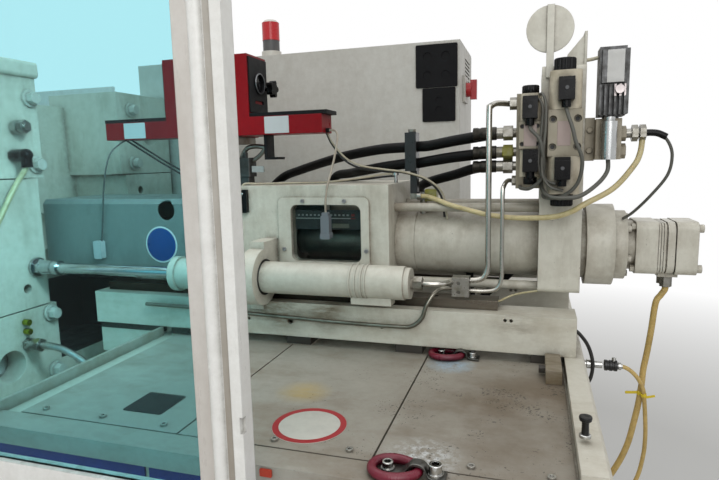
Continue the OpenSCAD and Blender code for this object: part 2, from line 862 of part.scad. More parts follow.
module injection_housing() {
    ear_x = 628;
    ear_t = 36;
    color(cream)
        at_axis()
            difference() {
                union() {
                    span([house_x0, -house_half, house_low], [house_x1, house_half, house_top]);
                    // broad foot over the slideways
                    for (x = [house_x0 + 6, house_x1 - 126])
                        span([x, -foot_half, house_low], [x + 120, foot_half, house_low + 24]);
                    // ears that hold the traversing cylinders
                    for (s = [-1, 1]) {
                        bar_x(ear_x, ear_x + ear_t, trav_d + 56, s * trav_y, s * trav_z);
                        y_in = s * (house_half - 4);
                        low = min(s * trav_y, y_in);
                        high = max(s * trav_y, y_in);
                        span([ear_x, low, s * trav_z - (s < 0 ? 40 : 80)], [ear_x + ear_t, high, s * trav_z + (s < 0 ? 80 : 40)]);
                    }
                }
                // coupling room
                span([house_x0 + house_wall, -house_half + house_wall, rail_z + 26],
                     [house_x1 - 18, house_half - house_wall, house_top - 18]);
                // window openings on both sides
                for (side = [-1, 1])
                    translate([win_x, side * (house_half + 1), win_z])
                        rotate([90, 0, 0])
                            translate([0, 0, side < 0 ? -house_wall - 2 : 0])
                                linear_extrude(house_wall + 2)
                                    round_rect(win_w, win_h, 16);
                // seats of the barrel and of the plunger
                bar_x(house_x0 - 1, house_x0 + house_wall + 1, barrel_d);
                bar_x(house_x1 - 20, house_x1 + 1, 104);
                for (s = [-1, 1])
                    bar_x(ear_x - 1, ear_x + ear_t + 1, trav_d + 14, s * trav_y, s * trav_z);
            }
}

module window_frame() {
    t = 7;
    color(cream)
        at_axis() {
            difference() {
                face_plate(win_x - 6, win_z, 222, 166, 14, -house_half - t, t);
                face_plate(win_x, win_z, win_w, win_h, 16, -house_half - t - 1, t + 2);
            }
            for (x = [734, 836])
                translate([x, -house_half - t, win_z + 75])
                    rotate([90, 0, 0])
                        cap_screw(9, 4);
            for (x = [684, 886])
                translate([x, -house_half - t, win_z - 38])
                    rotate([90, 0, 0])
                        cap_screw(9, 4);
        }
}

module window_pane() {
    color([0.75, 0.8, 0.8, 0.35])
        at_axis()
            face_plate(win_x, win_z, win_w, win_h, 16, -house_half + 6, 4);
}

barrel_x1 = house_x0 + house_wall;

module barrel() {
    color(steel)
        at_axis()
            difference() {
                union() {
                    bar_x(barrel_x0, barrel_x1, barrel_d);
                    // feed throat up to the doser
                    translate([doser_x - 42, -42, 0])
                        cube([84, 84, 108]);
                    bar_z(100, doser_z - 18, 70, doser_x, 0);
                    translate([doser_x - 60, -60, doser_z - 18 - eps])
                        cube([120, 120, 18 + eps]);
                }
                bar_x(barrel_x0 - 1, barrel_x1 + 1, screw_d + 2 * slide_gap);
                bar_z(0, doser_z + 1, 46, doser_x, 0);
            }
}

module heater_bands() {
    color(chrome)
        at_axis()
            for (x = [-20, 80, 180, 280])
                difference() {
                    bar_x(x, x + 70, barrel_d + 12);
                    bar_x(x - 1, x + 71, barrel_d);
                    span([x - 1, -3, 40], [x + 71, 3, 70]);
                }
}

nozzle_len = 48;

module nozzle() {
    color(steel)
        at_axis()
            difference() {
                union() {
                    bar_x(barrel_x0 - 14, barrel_x0, barrel_d - 6);
                    translate([barrel_x0 - nozzle_len, 0, 0])
                        rotate([0, 90, 0])
                            cylinder(d1 = 22, d2 = 60, h = nozzle_len - 14 + eps);
                }
                bar_x(barrel_x0 - nozzle_len - 1, barrel_x0 + 1, 6, 0, 0, 24);
                translate([barrel_x0 - 12, 0, 0])
                    rotate([0, 90, 0])
                        cylinder(d1 = 6, d2 = screw_d, h = 12 + eps);
            }
}

cover_x0 = -42;
cover_x1 = 424;

module barrel_cover() {
    t = 3;
    top = 108;
    w = cover_half;
    color([0.5, 0.55, 0.55])
        at_axis()
            difference() {
                translate([cover_x0, 0, 0])
                    rotate([90, 0, 90])
                        linear_extrude(cover_x1 - cover_x0)
                            polygon([
                                [-w, -90], [-w, top - 12], [-w + 12, top], [w - 12, top], [w, top - 12], [w, -90],
                                [w - t, -90], [w - t, top - 12 - 1], [w - 13, top - t], [13 - w, top - t],
                                [t - w, top - 12 - 1], [t - w, -90]]);
                bar_y(-w - 1, -w + 10, 50, 352, 80, 36);
                span([doser_x - 50, -50, top - 10], [cover_x1 + 1, 50, top + 1]);
            }
    // hangers that hold the cover on the barrel
    color([0.5, 0.55, 0.55])
        at_axis()
            for (x = [60, 380])
                difference() {
                    span([x, -cover_half + 1, -24], [x + 6, cover_half - 1, 24]);
                    bar_x(x - 1, x + 7, barrel_d);
                }
}

head_x0 = 430;
cap_x1 = 1002;

module traverse_cylinders() {
    color(cream)
        at_axis()
            for (s = [-1, 1])
                difference() {
                    union() {
                        bar_x(head_x0 + 16, cap_x1 - 12, trav_d, s * trav_y, s * trav_z);
                        bar_x(head_x0, head_x0 + 16 + eps, trav_d + 10, s * trav_y, s * trav_z);
                        bar_x(cap_x1 - 12 - eps, cap_x1, trav_d - 6, s * trav_y, s * trav_z);
                        for (x = [872, 884, 897, 906])
                            bar_x(x, x + 4, trav_d + 3, s * trav_y, s * trav_z);
                        // collar in the housing's ear
                        bar_x(628, 664, trav_d + 14, s * trav_y, s * trav_z);
                        // port block under the tube
                        span([873, s * trav_y - 17, s * trav_z - trav_d / 2 - 12],
                             [962, s * trav_y + 17, s * trav_z - trav_d / 2 + 6]);
                        bar_x(cap_x1 - eps, cap_x1 + 5, 22, s * trav_y, s * trav_z, 24);
                    }
                    bar_x(head_x0 + 22, cap_x1 - 16, trav_bore, s * trav_y, s * trav_z);
                    bar_x(head_x0 - 1, head_x0 + 24, rod_d + 2 * slide_gap, s * trav_y, s * trav_z);
                }
}

tie_rod_y = 64;
tie_rod_z = 86;
plunger_d = 90;

module injection_cylinder() {
    color(cream)
        at_axis() {
            difference() {
                union() {
                    bar_x(house_x1, plate_x0, inj_d);
                    bar_x(house_x1, house_x1 + 45, inj_d + 3);
                }
                bar_x(house_x1 - 1, plate_x0 + 1, plunger_d + 24);
            }
            for (y = [-1, 1], z = [-1, 1])
                bar_x(house_x1, plate_x0, 20, y * tie_rod_y, z * tie_rod_z, 32);
        }
}

module end_plate() {
    color(cream)
        at_axis()
            difference() {
                union() {
                    cross_plate(0, (plate_top - plate_low) / 2, 2 * plate_half, plate_top + plate_low, 10, plate_x0, plate_t);
                    // bright flange with its gusset
                    span([plate_x1 - 5, -plate_half + 8, plate_top - eps], [plate_x1, plate_half - 60, plate_top + 62]);
                    translate([plate_x1 - 4, -plate_half + 16, plate_top - eps])
                        rotate([90, 0, 0])
                            linear_extrude(6)
                                polygon([[0, 0], [0, 58], [-32, 20], [-32, 0]]);
                }
                // oil ways
                bar_x(plate_x0 - 1, plate_x0 + 40, plunger_d + 24);
                bar_x(plate_x0 - 1, plate_x1 + 1, 40);
                bar_z(plate_top - 60, plate_top + 1, 16, (plate_x0 + plate_x1) / 2, 60, 24);
            }
}

module motor_drum() {
    x = plate_x1;
    color(cream)
        at_axis() {
            difference() {
                union() {
                    bar_x(x, x + 14, 150);
                    bar_x(x + 14 - eps, x + 70, 178);
                    bar_x(x + 70 - eps, x + 95, 150);
                    bar_x(x + 95 - eps, motor_x0, 106);
                }
                bar_x(x - 1, motor_x0 + 1, 44);
            }
            for (a = [20 : 60 : 379])
                translate([x + 95 - eps, 62 * cos(a), 62 * sin(a)])
                    rotate([0, 90, 0])
                        cap_screw(14, 8);
        }
}

motor_s = 111;

module screw_motor() {
    x = motor_x0;
    r = 16;
    color(cream)
        at_axis() {
            difference() {
                union() {
                    cross_plate(0, 0, motor_s, motor_s, r, x, 42);
                    for (i = [0 : 2])
                        cross_plate(0, 0, motor_s - 4, motor_s - 4, r, x + 43 + i * 5, 4);
                    cross_plate(0, 0, motor_s - 12, motor_s - 12, r, x + 42 - eps, 18);
                    cross_plate(0, 0, motor_s - 2, motor_s - 2, 22, x + 60 - eps, 14);
                    cross_plate(0, 0, motor_s, motor_s, r, x + 76, 40);
                    bar_x(x + 60, motor_x0 + motor_len - 3, 92);
                    // port flange underneath
                    span([x + 48, -30, -motor_s / 2 - 8], [x + 86, 30, -motor_s / 2 + 4]);
                }
                bar_x(x - 1, x + 14, 50);
            }
            for (y = [-1, 1], z = [-1, 1]) {
                translate([x + 116 - eps, y * 42, z * 42])
                    rotate([0, 90, 0])
                        cap_screw(17, 10);
                translate([x - 9, y * 44, z * 44])
                    rotate([0, 90, 0])
                        cylinder(d = 15, h = 9 + eps, $fn = 6);
            }
        }
}

// Valves on the end plate's front

valve_y = -plate_half;
ng10_x = plate_x0 + 43;
ng10_z = 238;
ng6_x = plate_x0 - 21;
ng6_z = 236;

module valve_blocks() {
    color([0.7, 0.68, 0.62])
        at_axis() {
            // manifold on the plate's left
            difference() {
                span([plate_x0 - 48, -plate_half + 4, 130], [plate_x0, -20, 322]);
                for (z = [246, 206, 176])
                    bar_x(plate_x0 - 49, plate_x0 - 30, 14, -70, z, 24);
            }
            // manifold on the plate's right, with two port screws
            span([plate_x1, -plate_half + 2, 184], [plate_x1 + 18, -20, 268]);
            for (z = [204, 244])
                bar_y(-plate_half - 2, -plate_half + 4, 12, plate_x1 + 9, z, 6);
            // sub-plates under the valve bodies
            span([ng10_x - 32, valve_y - 14, ng10_z - 48], [ng10_x + 32, valve_y, ng10_z + 48]);
            span([ng6_x - 21, valve_y - 8, ng6_z - 44], [ng6_x + 21, valve_y + 4 + eps, ng6_z + 44]);
        }
}

side_x = plate_x1 + 18;

module valve_bodies() {
    color([0.84, 0.8, 0.74])
        at_axis() {
            difference() {
                span([ng10_x - 31, valve_y - 68, ng10_z - 44], [ng10_x + 31, valve_y - 14, ng10_z + 44]);
                for (x = [-22, 22], z = [-26, 26])
                    bar_y(valve_y - 69, valve_y - 60, 13, ng10_x + x, ng10_z + z, 24);
            }
            difference() {
                span([ng6_x - 20, valve_y - 62, ng6_z - 26], [ng6_x + 20, valve_y - 8, ng6_z + 26]);
                for (x = [-14, 14], z = [-17, 17])
                    bar_y(valve_y - 63, valve_y - 57, 8, ng6_x + x, ng6_z + z, 20);
            }
            // third valve on the right manifold
            span([side_x, -plate_half - 22, 186], [side_x + 46, -40, 264]);
            for (z = [236, 202])
                bar_x(side_x + 46 - eps, side_x + 58, 30, -plate_half + 14, z, 6);
        }
}

module coil(x, y, w, d, r, z, h) {
    translate([x, y, z])
        linear_extrude(h)
            round_rect(w, d, r);
}

module solenoids() {
    color([0.75, 0.75, 0.72])
        at_axis() {
            for (s = [-1, 1]) {
                z0 = s > 0 ? ng10_z + 44 : ng10_z - 44 - 72;
                coil(ng10_x, valve_y - 42, 58, 54, 14, z0, 72);
                z1 = s > 0 ? ng6_z + 26 : ng6_z - 26 - 54;
                coil(ng6_x, valve_y - 35, 36, 42, 8, z1, 54);
            }
            // can of the proportional valve
            bar_z(186, 258, 28, side_x + 22, -plate_half - 37, 40);
            bar_z(258 - eps, 266, 20, side_x + 22, -plate_half - 37, 40);
        }
}

module din_plug(x, y, z) {
    difference() {
        span([x - 14, y - 30, z - 21], [x + 14, y, z + 21]);
        span([x - 15, y - 31, z + 14], [x + 15, y - 22, z + 22]);
    }
    bar_y(y - 33, y - 30 + eps, 7, x, z, 20);
    // cable gland
    bar_z(z - 34, z - 21 + eps, 17, x, y - 15, 24);
}

module valve_plugs() {
    color(dark)
        at_axis() {
            din_plug(ng10_x, valve_y - 69, ng10_z + 80);
            din_plug(ng10_x - 4, valve_y - 69, ng10_z - 66);
            din_plug(ng6_x, valve_y - 56, ng6_z + 52);
            din_plug(ng6_x + 2, valve_y - 56, ng6_z - 49);
            // knurled nuts and caps at the solenoid ends
            bar_z(ng10_z + 116, ng10_z + 140, 38, ng10_x - 2, valve_y - 41, 32);
            bar_z(ng10_z - 140, ng10_z - 116, 40, ng10_x - 2, valve_y - 41, 32);
            bar_z(ng6_z + 80, ng6_z + 96, 30, ng6_x, valve_y - 35, 32);
            bar_z(ng6_z - 96, ng6_z - 80, 24, ng6_x + 2, valve_y - 35, 32);
        }
}

module valve_amplifier() {
    x = side_x + 2;
    fins = 6;
    color([0.45, 0.46, 0.47])
        at_axis() {
            span([x, -plate_half - 30, 268], [x + 47, -plate_half + 16, 396]);
            for (i = [0 : fins - 1])
                span([x + i * 8.6, -plate_half - 40, 270], [x + 4 + i * 8.6, -plate_half - 30 + eps, 326]);
            span([x + 4, -plate_half - 36, 329], [x + 43, -plate_half - 30 + eps, 390]);
            for (i = [0 : 6])
                span([x + 47 - eps, -plate_half - 26 + i * 6, 272], [x + 53, -plate_half - 23 + i * 6, 392]);
            bar_z(264, 268 + eps, 30, x + 24, -plate_half - 10, 30);
            bar_y(-plate_half - 46, -plate_half - 31, 16, x + 35, 316, 24);
        }
}

// Pipework of the carriage

tube_a_x = plate_x0 - 100;
tube_b_x = plate_x0 - 72;
tube_y = -150;
junction_x = 1082;
clamp_x = house_x1 + 34;

module steel_tubes() {
    color(chrome)
        at_axis() {
            // pressure tubes up to the valves
            hose([[junction_x + 36, -150, -62], [tube_a_x - 34, tube_y, -62], [tube_a_x - 10, tube_y, -56],
                  [tube_a_x, tube_y, -32], [tube_a_x, tube_y, 0], [tube_a_x, tube_y, 150], [tube_a_x, tube_y, 285],
                  [tube_a_x + 3, tube_y + 4, 297], [tube_a_x + 14, tube_y + 22, 304], [plate_x0 - 62, -104, 304]], 12, 4, 12);
            hose([[junction_x + 36, -150, -84], [tube_b_x - 34, tube_y, -84], [tube_b_x - 10, tube_y, -78],
                  [tube_b_x, tube_y, -54], [tube_b_x, tube_y, 0], [tube_b_x, tube_y, 116],
                  [tube_b_x + 2, tube_y + 8, 136], [tube_b_x + 8, tube_y + 32, 146], [plate_x0 - 56, -104, 146]], 9, 4, 10);
            // short tube from the near traversing cylinder
            hose([[cap_x1 + 24, -trav_y, -63], [1044, -trav_y, -63], [1062, -195, -63], [1074, -178, -64], [junction_x, -162, -65]], 12, 3, 12);
            // return tube down and along the beam
            hose([[junction_x, -160, -78], [junction_x - 22, -163, -80], [1046, -180, -88], [1032, -190, -112], [1022, -192, -140],
                  [1000, -193, -158], [966, -193, -161], [840, -193, -160], [700, -193, -156], [560, -193, -152],
                  [430, -193, -147], [330, -193, -146]], 9, 4, 10);
        }
}

module hex_fitting(x0, x1, af, y, z) {
    bar_x(x0, x1, af / cos(30), y, z, 6);
}

module tube_fittings() {
    color([0.55, 0.52, 0.46])
        at_axis() {
            // junction block with two socket screws
            difference() {
                span([junction_x, -168, -95], [junction_x + 36, -136, -54]);
                for (z = [-66, -85])
                    bar_y(-169, -164, 9, junction_x + 14, z, 6);
            }
            hex_fitting(cap_x1 + 5, cap_x1 + 24, 26, -trav_y, -trav_z);
            // adapters of the black hoses at the left manifold
            for (z = [246, 206, 176]) {
                hex_fitting(plate_x0 - 76, plate_x0 - 56, 27, -70, z);
                bar_x(plate_x0 - 90, plate_x0 - 76 + eps, 24, -70, z, 24);
                bar_x(plate_x0 - 56 - eps, plate_x0 - 48, 20, -70, z, 24);
            }
            hex_fitting(plate_x0 - 62, plate_x0 - 48, 22, -104, 304);
            hex_fitting(plate_x0 - 56, plate_x0 - 48, 18, -104, 146);
            // clamp of the black hoses, on its leg over the cylinder
            difference() {
                span([clamp_x - 13, -52, 168], [clamp_x + 13, -10, 256]);
                for (z = [223.5, 185.5])
                    bar_x(clamp_x - 14, clamp_x + 14, 25, -30.5, z, 24);
            }
            bar_z(256 - eps, 264, 18, clamp_x, -31, 6);
            span([clamp_x - 3, -42, 118 - eps], [clamp_x + 13, -18, 168 + eps]);
            // socket of the cream hose and a capped block beside it
            span([clamp_x - 3, -42, 102], [1001, -12, 118]);
            bar_x(985, 994, 20, -42, 110, 24);
            span([1001 - eps, -35, 98], [1028, -6, 125]);
            difference() {
                bar_z(40, 104, 18, 996, -22, 24);
                bar_x(980, 1020, inj_d);
            }
            // hex nuts and plug right of the third valve
            for (x = [side_x + 68, side_x + 82])
                hex_fitting(x, x + 11, 28, -plate_half + 14, 236);
            bar_x(side_x + 58, side_x + 94, 18, -plate_half + 14, 236, 24);
            // motor ports
            for (y = [-16, 16])
                bar_z(-86, -motor_s / 2 - 8, 24, port_x, y, 6);
        }
}

hose_end = plate_x0 - 90;
hose_1 = [[500, 150, 20], [502, 150, 66], [512, 150, 112], [556, 148, 152], [625, 112, 172], [737, 50, 197], [801, 20, 209],
          [889, -16, 220], [956, -30, 223], [986, -31, 224], [1014, -40, 225], [1074, -56, 234], [hose_end, -70, 246]];
hose_2 = [[684, 150, 20], [686, 150, 66], [694, 150, 112], [718, 148, 153], [777, 96, 162], [837, 30, 170], [887, -12, 177],
          [956, -30, 185], [986, -31, 186], [1014, -40, 190], [1074, -56, 198], [hose_end, -70, 206]];
hose_3 = [[962, 150, 0], [962, 150, 50], [962, 128, 96], [968, 80, 124], [1005, 10, 141], [1070, -30, 158], [1120, -62, 172],
          [hose_end, -70, 176]];
hose_4 = [[1196, 36, -69.5], [1190, 36, -84], [1156, 36, -114], [1126, 36, -146], [1108, 36, -148], [1100, 36, -128],
          [1098, 36, -96], [1098, 36, -69.5]];

module black_hoses() {
    color(dark)
        at_axis() {
            hose(hose_1, 24, 4, 12);
            hose(hose_2, 24, 4, 12);
            hose(hose_3, 22, 4, 12);
            hose(hose_4, 18, 3, 12);
        }
}

cream_route = [[side_x + 88, -106, 222], [side_x + 84, -112, 196], [side_x + 72, -122, 172], [side_x + 34, -152, 131],
               [plate_x1, -172, 102], [1312, -170, 86], [1282, -162, 76], [1238, -150, 72], [1202, -138, 71], [1178, -133, 73],
               [1151, -130, 76], [1130, -121, 80], [1088, -94, 88], [1060, -82, 95], [1042, -72, 101], [1026, -58, 105],
               [1008, -46, 109], [994, -42, 110]];

module cream_hose() {
    color([0.85, 0.8, 0.62])
        at_axis()
            hose(cream_route, 11, 5, 10);
}

port_x = motor_x0 + 67;
mustard_a = [[port_x, -16, -86], [port_x - 1, -16, -94], [port_x - 8, -16, -106], [port_x - 17, -16, -124], [port_x - 23, -17, -184],
             [port_x - 29, -18, -234], [port_x - 35, -19, -275], [port_x - 37, -20, -308], [port_x - 42, -22, -353],
             [port_x - 50, -24, -399], [port_x - 60, -27, -446], [port_x - 76, -30, -490], [port_x - 100, -34, -534],
             [port_x - 130, -38, -568], [bed_x1 + 24, -42, -590], [bed_x1 + 1.1, -42, -590]];
mustard_b = [[bed_x1 + 0.8, -10, -650], [bed_x1 + 24, -10, -650], [1400, -11, -636], [1446, -13, -596], [1478, -16, -540], [1490, -20, -480],
             [1492, -24, -430], [1489, -28, -380], [1484, -34, -335], [1480, -36, -312], [1470, -37, -291], [1457, -37, -276],
             [1445, -37, -268], [1434, -37, -265], [1426, -37, -265]];

module mustard_hoses() {
    color([0.8, 0.68, 0.3])
        at_axis() {
            hose(mustard_a, 13, 2, 10);
            hose(mustard_b, 9, 2, 8);
            // quick coupling on the end of the thin hose
            bar_x(1412, 1426, 14, -37, -265, 6);
            bar_x(1398, 1412 + eps, 13, -37, -265, 24);
            bar_z(-262, -246, 5, 1419, -37, 16);
        }
}

module cables() {
    color([0.35, 0.35, 0.36])
        at_axis() {
            // leads of the upper plugs, looped round the lower ones
            hose([[ng10_x, valve_y - 84, ng10_z + 46], [1302, -210, 268], [1310, -214, 244], [1316, -214, 220], [1327, -212, 193],
                  [1328, -208, 168], [1322, -202, 144], [1310, -197, 128], [1292, -191, 117], [1274, -178, 114],
                  [1264, -150, 114], [1262, valve_y - 0.4, 116]], 7, 3, 8);
            hose([[ng6_x, valve_y - 71, ng6_z + 18], [1238, -198, 244], [1252, -200, 228], [1258, -198, 204], [1261, -190, 172],
                  [1255, -183, 149], [1236, -176, 133], [1219, -150, 132], [1216, valve_y + 3.6, 134]], 7, 3, 8);
            hose([[side_x + 22, -plate_half - 37, 186], [side_x + 21, -160, 164], [1360, -178, 142], [1328, -211, 121],
                  [1300, -215, 117], [1273, -207, 119], [1259, -172, 133], [1258, valve_y - 0.4, 150]], 8, 4, 8);
            // lead of the amplifier's plug, out over the motor
            hose([[side_x + 94, -106, 236], [side_x + 120, -106, 232], [1492, -104, 214], [1499, -100, 188], [1493, -95, 152],
                  [1466, -82, 110], [1440, -60, 76], [1423, -48.5, 61.7]], 6, 4, 8);
        }
}

conn_x = 800;
conn_y = -house_half - 32;
cord_exit = doser_x + doser_len / 2 + 8;
cord_y = doser_front + 30;
hanging_route = [[cord_exit, cord_y, 268], [782, -50, 268], [789, -52, 266], [795, -57, 261], [799, -64, 252], [801, -73, 240],
                 [802, -83, 226], [802, -93, 211], [802, -103, 196], [801, -113, 181], [801, -123, 167], [800, -134, 153],
                 [800, -145, 138], [800, -154, 122], [conn_x, -159, 106], [conn_x, conn_y, 92], [conn_x, conn_y, 82]];

module hanging_cable() {
    color([0.8, 0.76, 0.66])
        at_axis()
            hose(hanging_route, 5, 2, 8);
}

module hanging_connector() {
    color([0.6, 0.62, 0.6])
        at_axis() {
            face_plate(conn_x, 50, 20, 50, 4, conn_y - 9, 18);
            face_plate(conn_x, 78, 15, 8, 3, conn_y - 7, 14);
            face_plate(conn_x, 29, 23, 14, 3, conn_y - 11, 22);
        }
}

// Doser and small parts

module doser_base() {
    x0 = doser_x - doser_len / 2;
    x1 = doser_x + doser_len / 2;
    tz = doser_z + doser_base_h;
    color(red)
        at_axis()
            difference() {
                union() {
                    span([x0, doser_front, doser_z], [x1, doser_front + base_d, tz]);
                    span([doser_x - tower_w / 2, doser_front, doser_z], [doser_x + tower_w / 2, doser_front + tower_d, tz + tower_h]);
                    span([doser_x - 66, doser_front, doser_z], [doser_x + 66, 66, tz]);
                }
                // window and port openings of the tower
                bar_x(doser_x + tower_w / 2 - 12, doser_x + tower_w / 2 + 1, 46, doser_front + 54, tz + 84, 40);
                bar_x(doser_x - tower_w / 2 - 1, doser_x - tower_w / 2 + 12, 46, doser_front + 54, tz + 84, 40);
                bar_z(doser_z - 1, tz + 20, 46, doser_x, 0);
            }
}

module doser_plates() {
    x0 = doser_x - doser_len / 2;
    x1 = doser_x + doser_len / 2;
    tz = doser_z + doser_base_h;
    tx = tower_w / 2;
    color(dark)
        at_axis() {
            span([x0 - 3, doser_front + 2, tz], [doser_x - tx, doser_front + base_d + 6, tz + 9]);
            span([doser_x + tx, doser_front + 2, tz], [x1 + 12, doser_front + base_d + 6, tz + 9]);
            for (s = [-1, 1]) {
                xs = doser_x + s * tx;
                // cheek plate with a collared port and a slot
                difference() {
                    union() {
                        span([min(xs, xs + s * 4), doser_front + 4, tz + 12], [max(xs, xs + s * 4), doser_front + tower_d - 4, tz + tower_h - 6]);
                        bar_x(min(xs, xs + s * 7), max(xs, xs + s * 7), 54, doser_front + 54, tz + 84, 40);
                    }
                    bar_x(min(xs, xs + s * 8) - 1, max(xs, xs + s * 8) + 1, 44, doser_front + 54, tz + 84, 40);
                    span([min(xs, xs + s * 5) - 1, doser_front + 30, tz + 34], [max(xs, xs + s * 5) + 1, doser_front + 74, tz + 42]);
                }
            }
            // gland of the hanging cable
            bar_x(x1, cord_exit, 11, cord_y, 268, 24);
            // bracket under the right arm
            span([doser_x + 150, doser_front + 10, doser_z - 60], [doser_x + 158, doser_front + 50, doser_z]);
            span([doser_x + 150, doser_front + 10, doser_z - 60], [doser_x + 186, doser_front + 50, doser_z - 54]);
        }
}

knob_y = doser_front + tower_d + 2;
knob_z = doser_z + doser_base_h + 74;

module star_knob(x0, dir) {
    lobes = 5;
    d = 30;
    shaft = body_gap + 12;
    bar_x(min(x0, x0 + dir * shaft), max(x0, x0 + dir * shaft), 10, knob_y - 16, knob_z, 20);
    a = x0 + dir * shaft;
    b = a + dir * 15;
    bar_x(min(a, b), max(a, b), d, knob_y - 16, knob_z, 32);
    for (i = [0 : lobes - 1])
        bar_x(min(a, b), max(a, b), 13, knob_y - 16 + 15 * cos(i * 72), knob_z + 15 * sin(i * 72), 20);
}

module doser_knob_right() {
    color(dark)
        at_axis()
            star_knob(doser_x + tower_w / 2 + 4 + body_gap, 1);
}

module doser_knob_left() {
    color(dark)
        at_axis()
            star_knob(doser_x - tower_w / 2 - 4 - body_gap, -1);
}

disc_x = plate_x0 + 13;
disc_z = plate_top + 70;

module indicator_disc() {
    color(cream)
        at_axis() {
            bar_y(-plate_half, -plate_half + 5, 90, disc_x, disc_z, 60);
            span([disc_x - 6, -plate_half - 6, plate_top - 24], [disc_x + 8, -plate_half, disc_z + 45]);
        }
}

// Screw drive inside the housing

coup_x0 = 640;

module screw_coupling() {
    x_end = house_x1 + 150;
    color(chrome)
        at_axis()
            difference() {
                union() {
                    bar_x(coup_x0 + 60, x_end, plunger_d);
                    bar_x(coup_x0, coup_x0 + 34, 120);
                    bar_x(coup_x0 + 34 - eps, coup_x0 + 62, 76);
                    bar_x(x_end - eps, x_end + 40, plunger_d + 24 - 2 * slide_gap);
                    // pointer for the stroke scale
                    span([coup_x0 + 8, -house_half + 34, 30], [coup_x0 + 26, -40, 36]);
                }
                bar_x(coup_x0 - 1, coup_x0 + 30, 34 + 2 * slide_gap, 0, 0, 36);
            }
}

module screw() {
    flight = screw_d;
    turns = 14;
    x0 = barrel_x0 + shot + 6;
    color(steel)
        at_axis() {
            bar_x(x0, coup_x0 - 20, screw_d - 12);
            translate([x0 - 34, 0, 0])
                rotate([0, 90, 0])
                    cylinder(d1 = 2, d2 = screw_d - 8, h = 34 + eps);
            bar_x(house_x0 - 40, coup_x0 - 20 + eps, screw_d);
            bar_x(coup_x0 - 20, coup_x0 + 28, 34, 0, 0, 36);
            bar_x(coup_x0 - 18, coup_x0 - 4, 70, 0, 0, 6);
            // flights, as inclined rings
            for (i = [0 : turns - 1])
                translate([x0 + 16 + i * 26, 0, 0])
                    rotate([0, 90, 0])
                        cylinder(d = flight, h = 5);
        }
}

bed_frame();
bed_panels();
levelling_feet();
deck_plates();
deck_screws();
end_rim();
slide_beams();
guide_rails();
transport_brackets();
fixed_platen();
platen_bolts();
platen_pipework();
tie_bars();
end_platen();
clamp_cylinder();
traverse_rods();
cabinet();
fan_panels();
beacon_base();
beacon_lens();
guard_frame();
guard_door();
guard_window();
cabinet_door_left();
cabinet_door_right();
switch_handle();
moving_platen();
ejector_plate();
injection_housing();
window_frame();
window_pane();
barrel();
heater_bands();
nozzle();
barrel_cover();
traverse_cylinders();
injection_cylinder();
end_plate();
motor_drum();
screw_motor();
valve_blocks();
valve_bodies();
solenoids();
valve_plugs();
valve_amplifier();
steel_tubes();
tube_fittings();
black_hoses();
cream_hose();
mustard_hoses();
cables();
hanging_cable();
hanging_connector();
doser_base();
doser_plates();
doser_knob_left();
doser_knob_right();
indicator_disc();
screw_coupling();
screw();
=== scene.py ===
import math

import bpy
import numpy as np
from mathutils import Matrix, Vector


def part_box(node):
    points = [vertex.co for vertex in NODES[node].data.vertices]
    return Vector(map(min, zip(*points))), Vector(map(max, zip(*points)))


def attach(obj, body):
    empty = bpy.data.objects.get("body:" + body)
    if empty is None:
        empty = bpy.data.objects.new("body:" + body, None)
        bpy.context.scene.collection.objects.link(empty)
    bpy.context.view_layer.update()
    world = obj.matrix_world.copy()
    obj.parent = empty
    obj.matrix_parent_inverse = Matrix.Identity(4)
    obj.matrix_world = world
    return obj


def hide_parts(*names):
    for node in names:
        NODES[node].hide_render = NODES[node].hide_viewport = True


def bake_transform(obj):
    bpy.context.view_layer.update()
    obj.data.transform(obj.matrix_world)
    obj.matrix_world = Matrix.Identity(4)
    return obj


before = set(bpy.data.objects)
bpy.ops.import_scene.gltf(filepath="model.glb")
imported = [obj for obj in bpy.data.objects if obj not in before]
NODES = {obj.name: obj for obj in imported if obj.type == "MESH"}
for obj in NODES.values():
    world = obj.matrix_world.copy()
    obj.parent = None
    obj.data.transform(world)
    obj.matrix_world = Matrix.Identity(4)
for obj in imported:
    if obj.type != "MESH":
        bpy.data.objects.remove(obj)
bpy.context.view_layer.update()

bl_info = {
    "name": "Injection moulding machine finishes",
    "version": (1, 0, 0),
    "blender": (4, 5, 0),
    "location": "3D View > Sidebar > Machine",
    "description": "Finishes, hoses, cables and small trim of a hydraulic injection moulding machine",
    "category": "Object",
}

# Places

# Machine millimetres are counted from the injection axis at the fixed platen's rear face.
MID_X = -352
MID_Y = -23
AXIS_HEIGHT = 1250
ALONG = (1, 0, 0)
INWARD = (0, 1, 0)
UPWARD = (0, 0, 1)
FORWARD = (0, -1, 0)


def at(x, y, z):
    """A point in machine millimetres as metres in the frame."""
    return np.array([(x - MID_X) / 1000, (y - MID_Y) / 1000, (z + AXIS_HEIGHT) / 1000])


def route(points):
    """A list of machine points as rows of metres in the frame."""
    return (np.asarray(points, float) - [MID_X, MID_Y, -AXIS_HEIGHT]) / 1000


def box_side(node, axis, high):
    """One side of a node's box in machine millimetres: axis 0, 1 or 2, the high or the low side."""
    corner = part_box(node)[1 if high else 0]
    return corner[axis] * 1000 + (MID_X, MID_Y, -AXIS_HEIGHT)[axis]


# Colour


def linear(hexed):
    """A six-digit sRGB colour as linear red, green and blue: the standard curve, a line below 0.04045."""
    parts = np.array([int(hexed[i:i + 2], 16) for i in (1, 3, 5)]) / 255
    return tuple(np.where(parts <= 0.04045, parts / 12.92, ((parts + 0.055) / 1.055) ** 2.4).tolist())


def colour_prop(label, about, hexed):
    """A colour that a user may change."""
    return bpy.props.FloatVectorProperty(
        name=label, description=about, subtype="COLOR", size=3, min=0, max=1, default=linear(hexed))


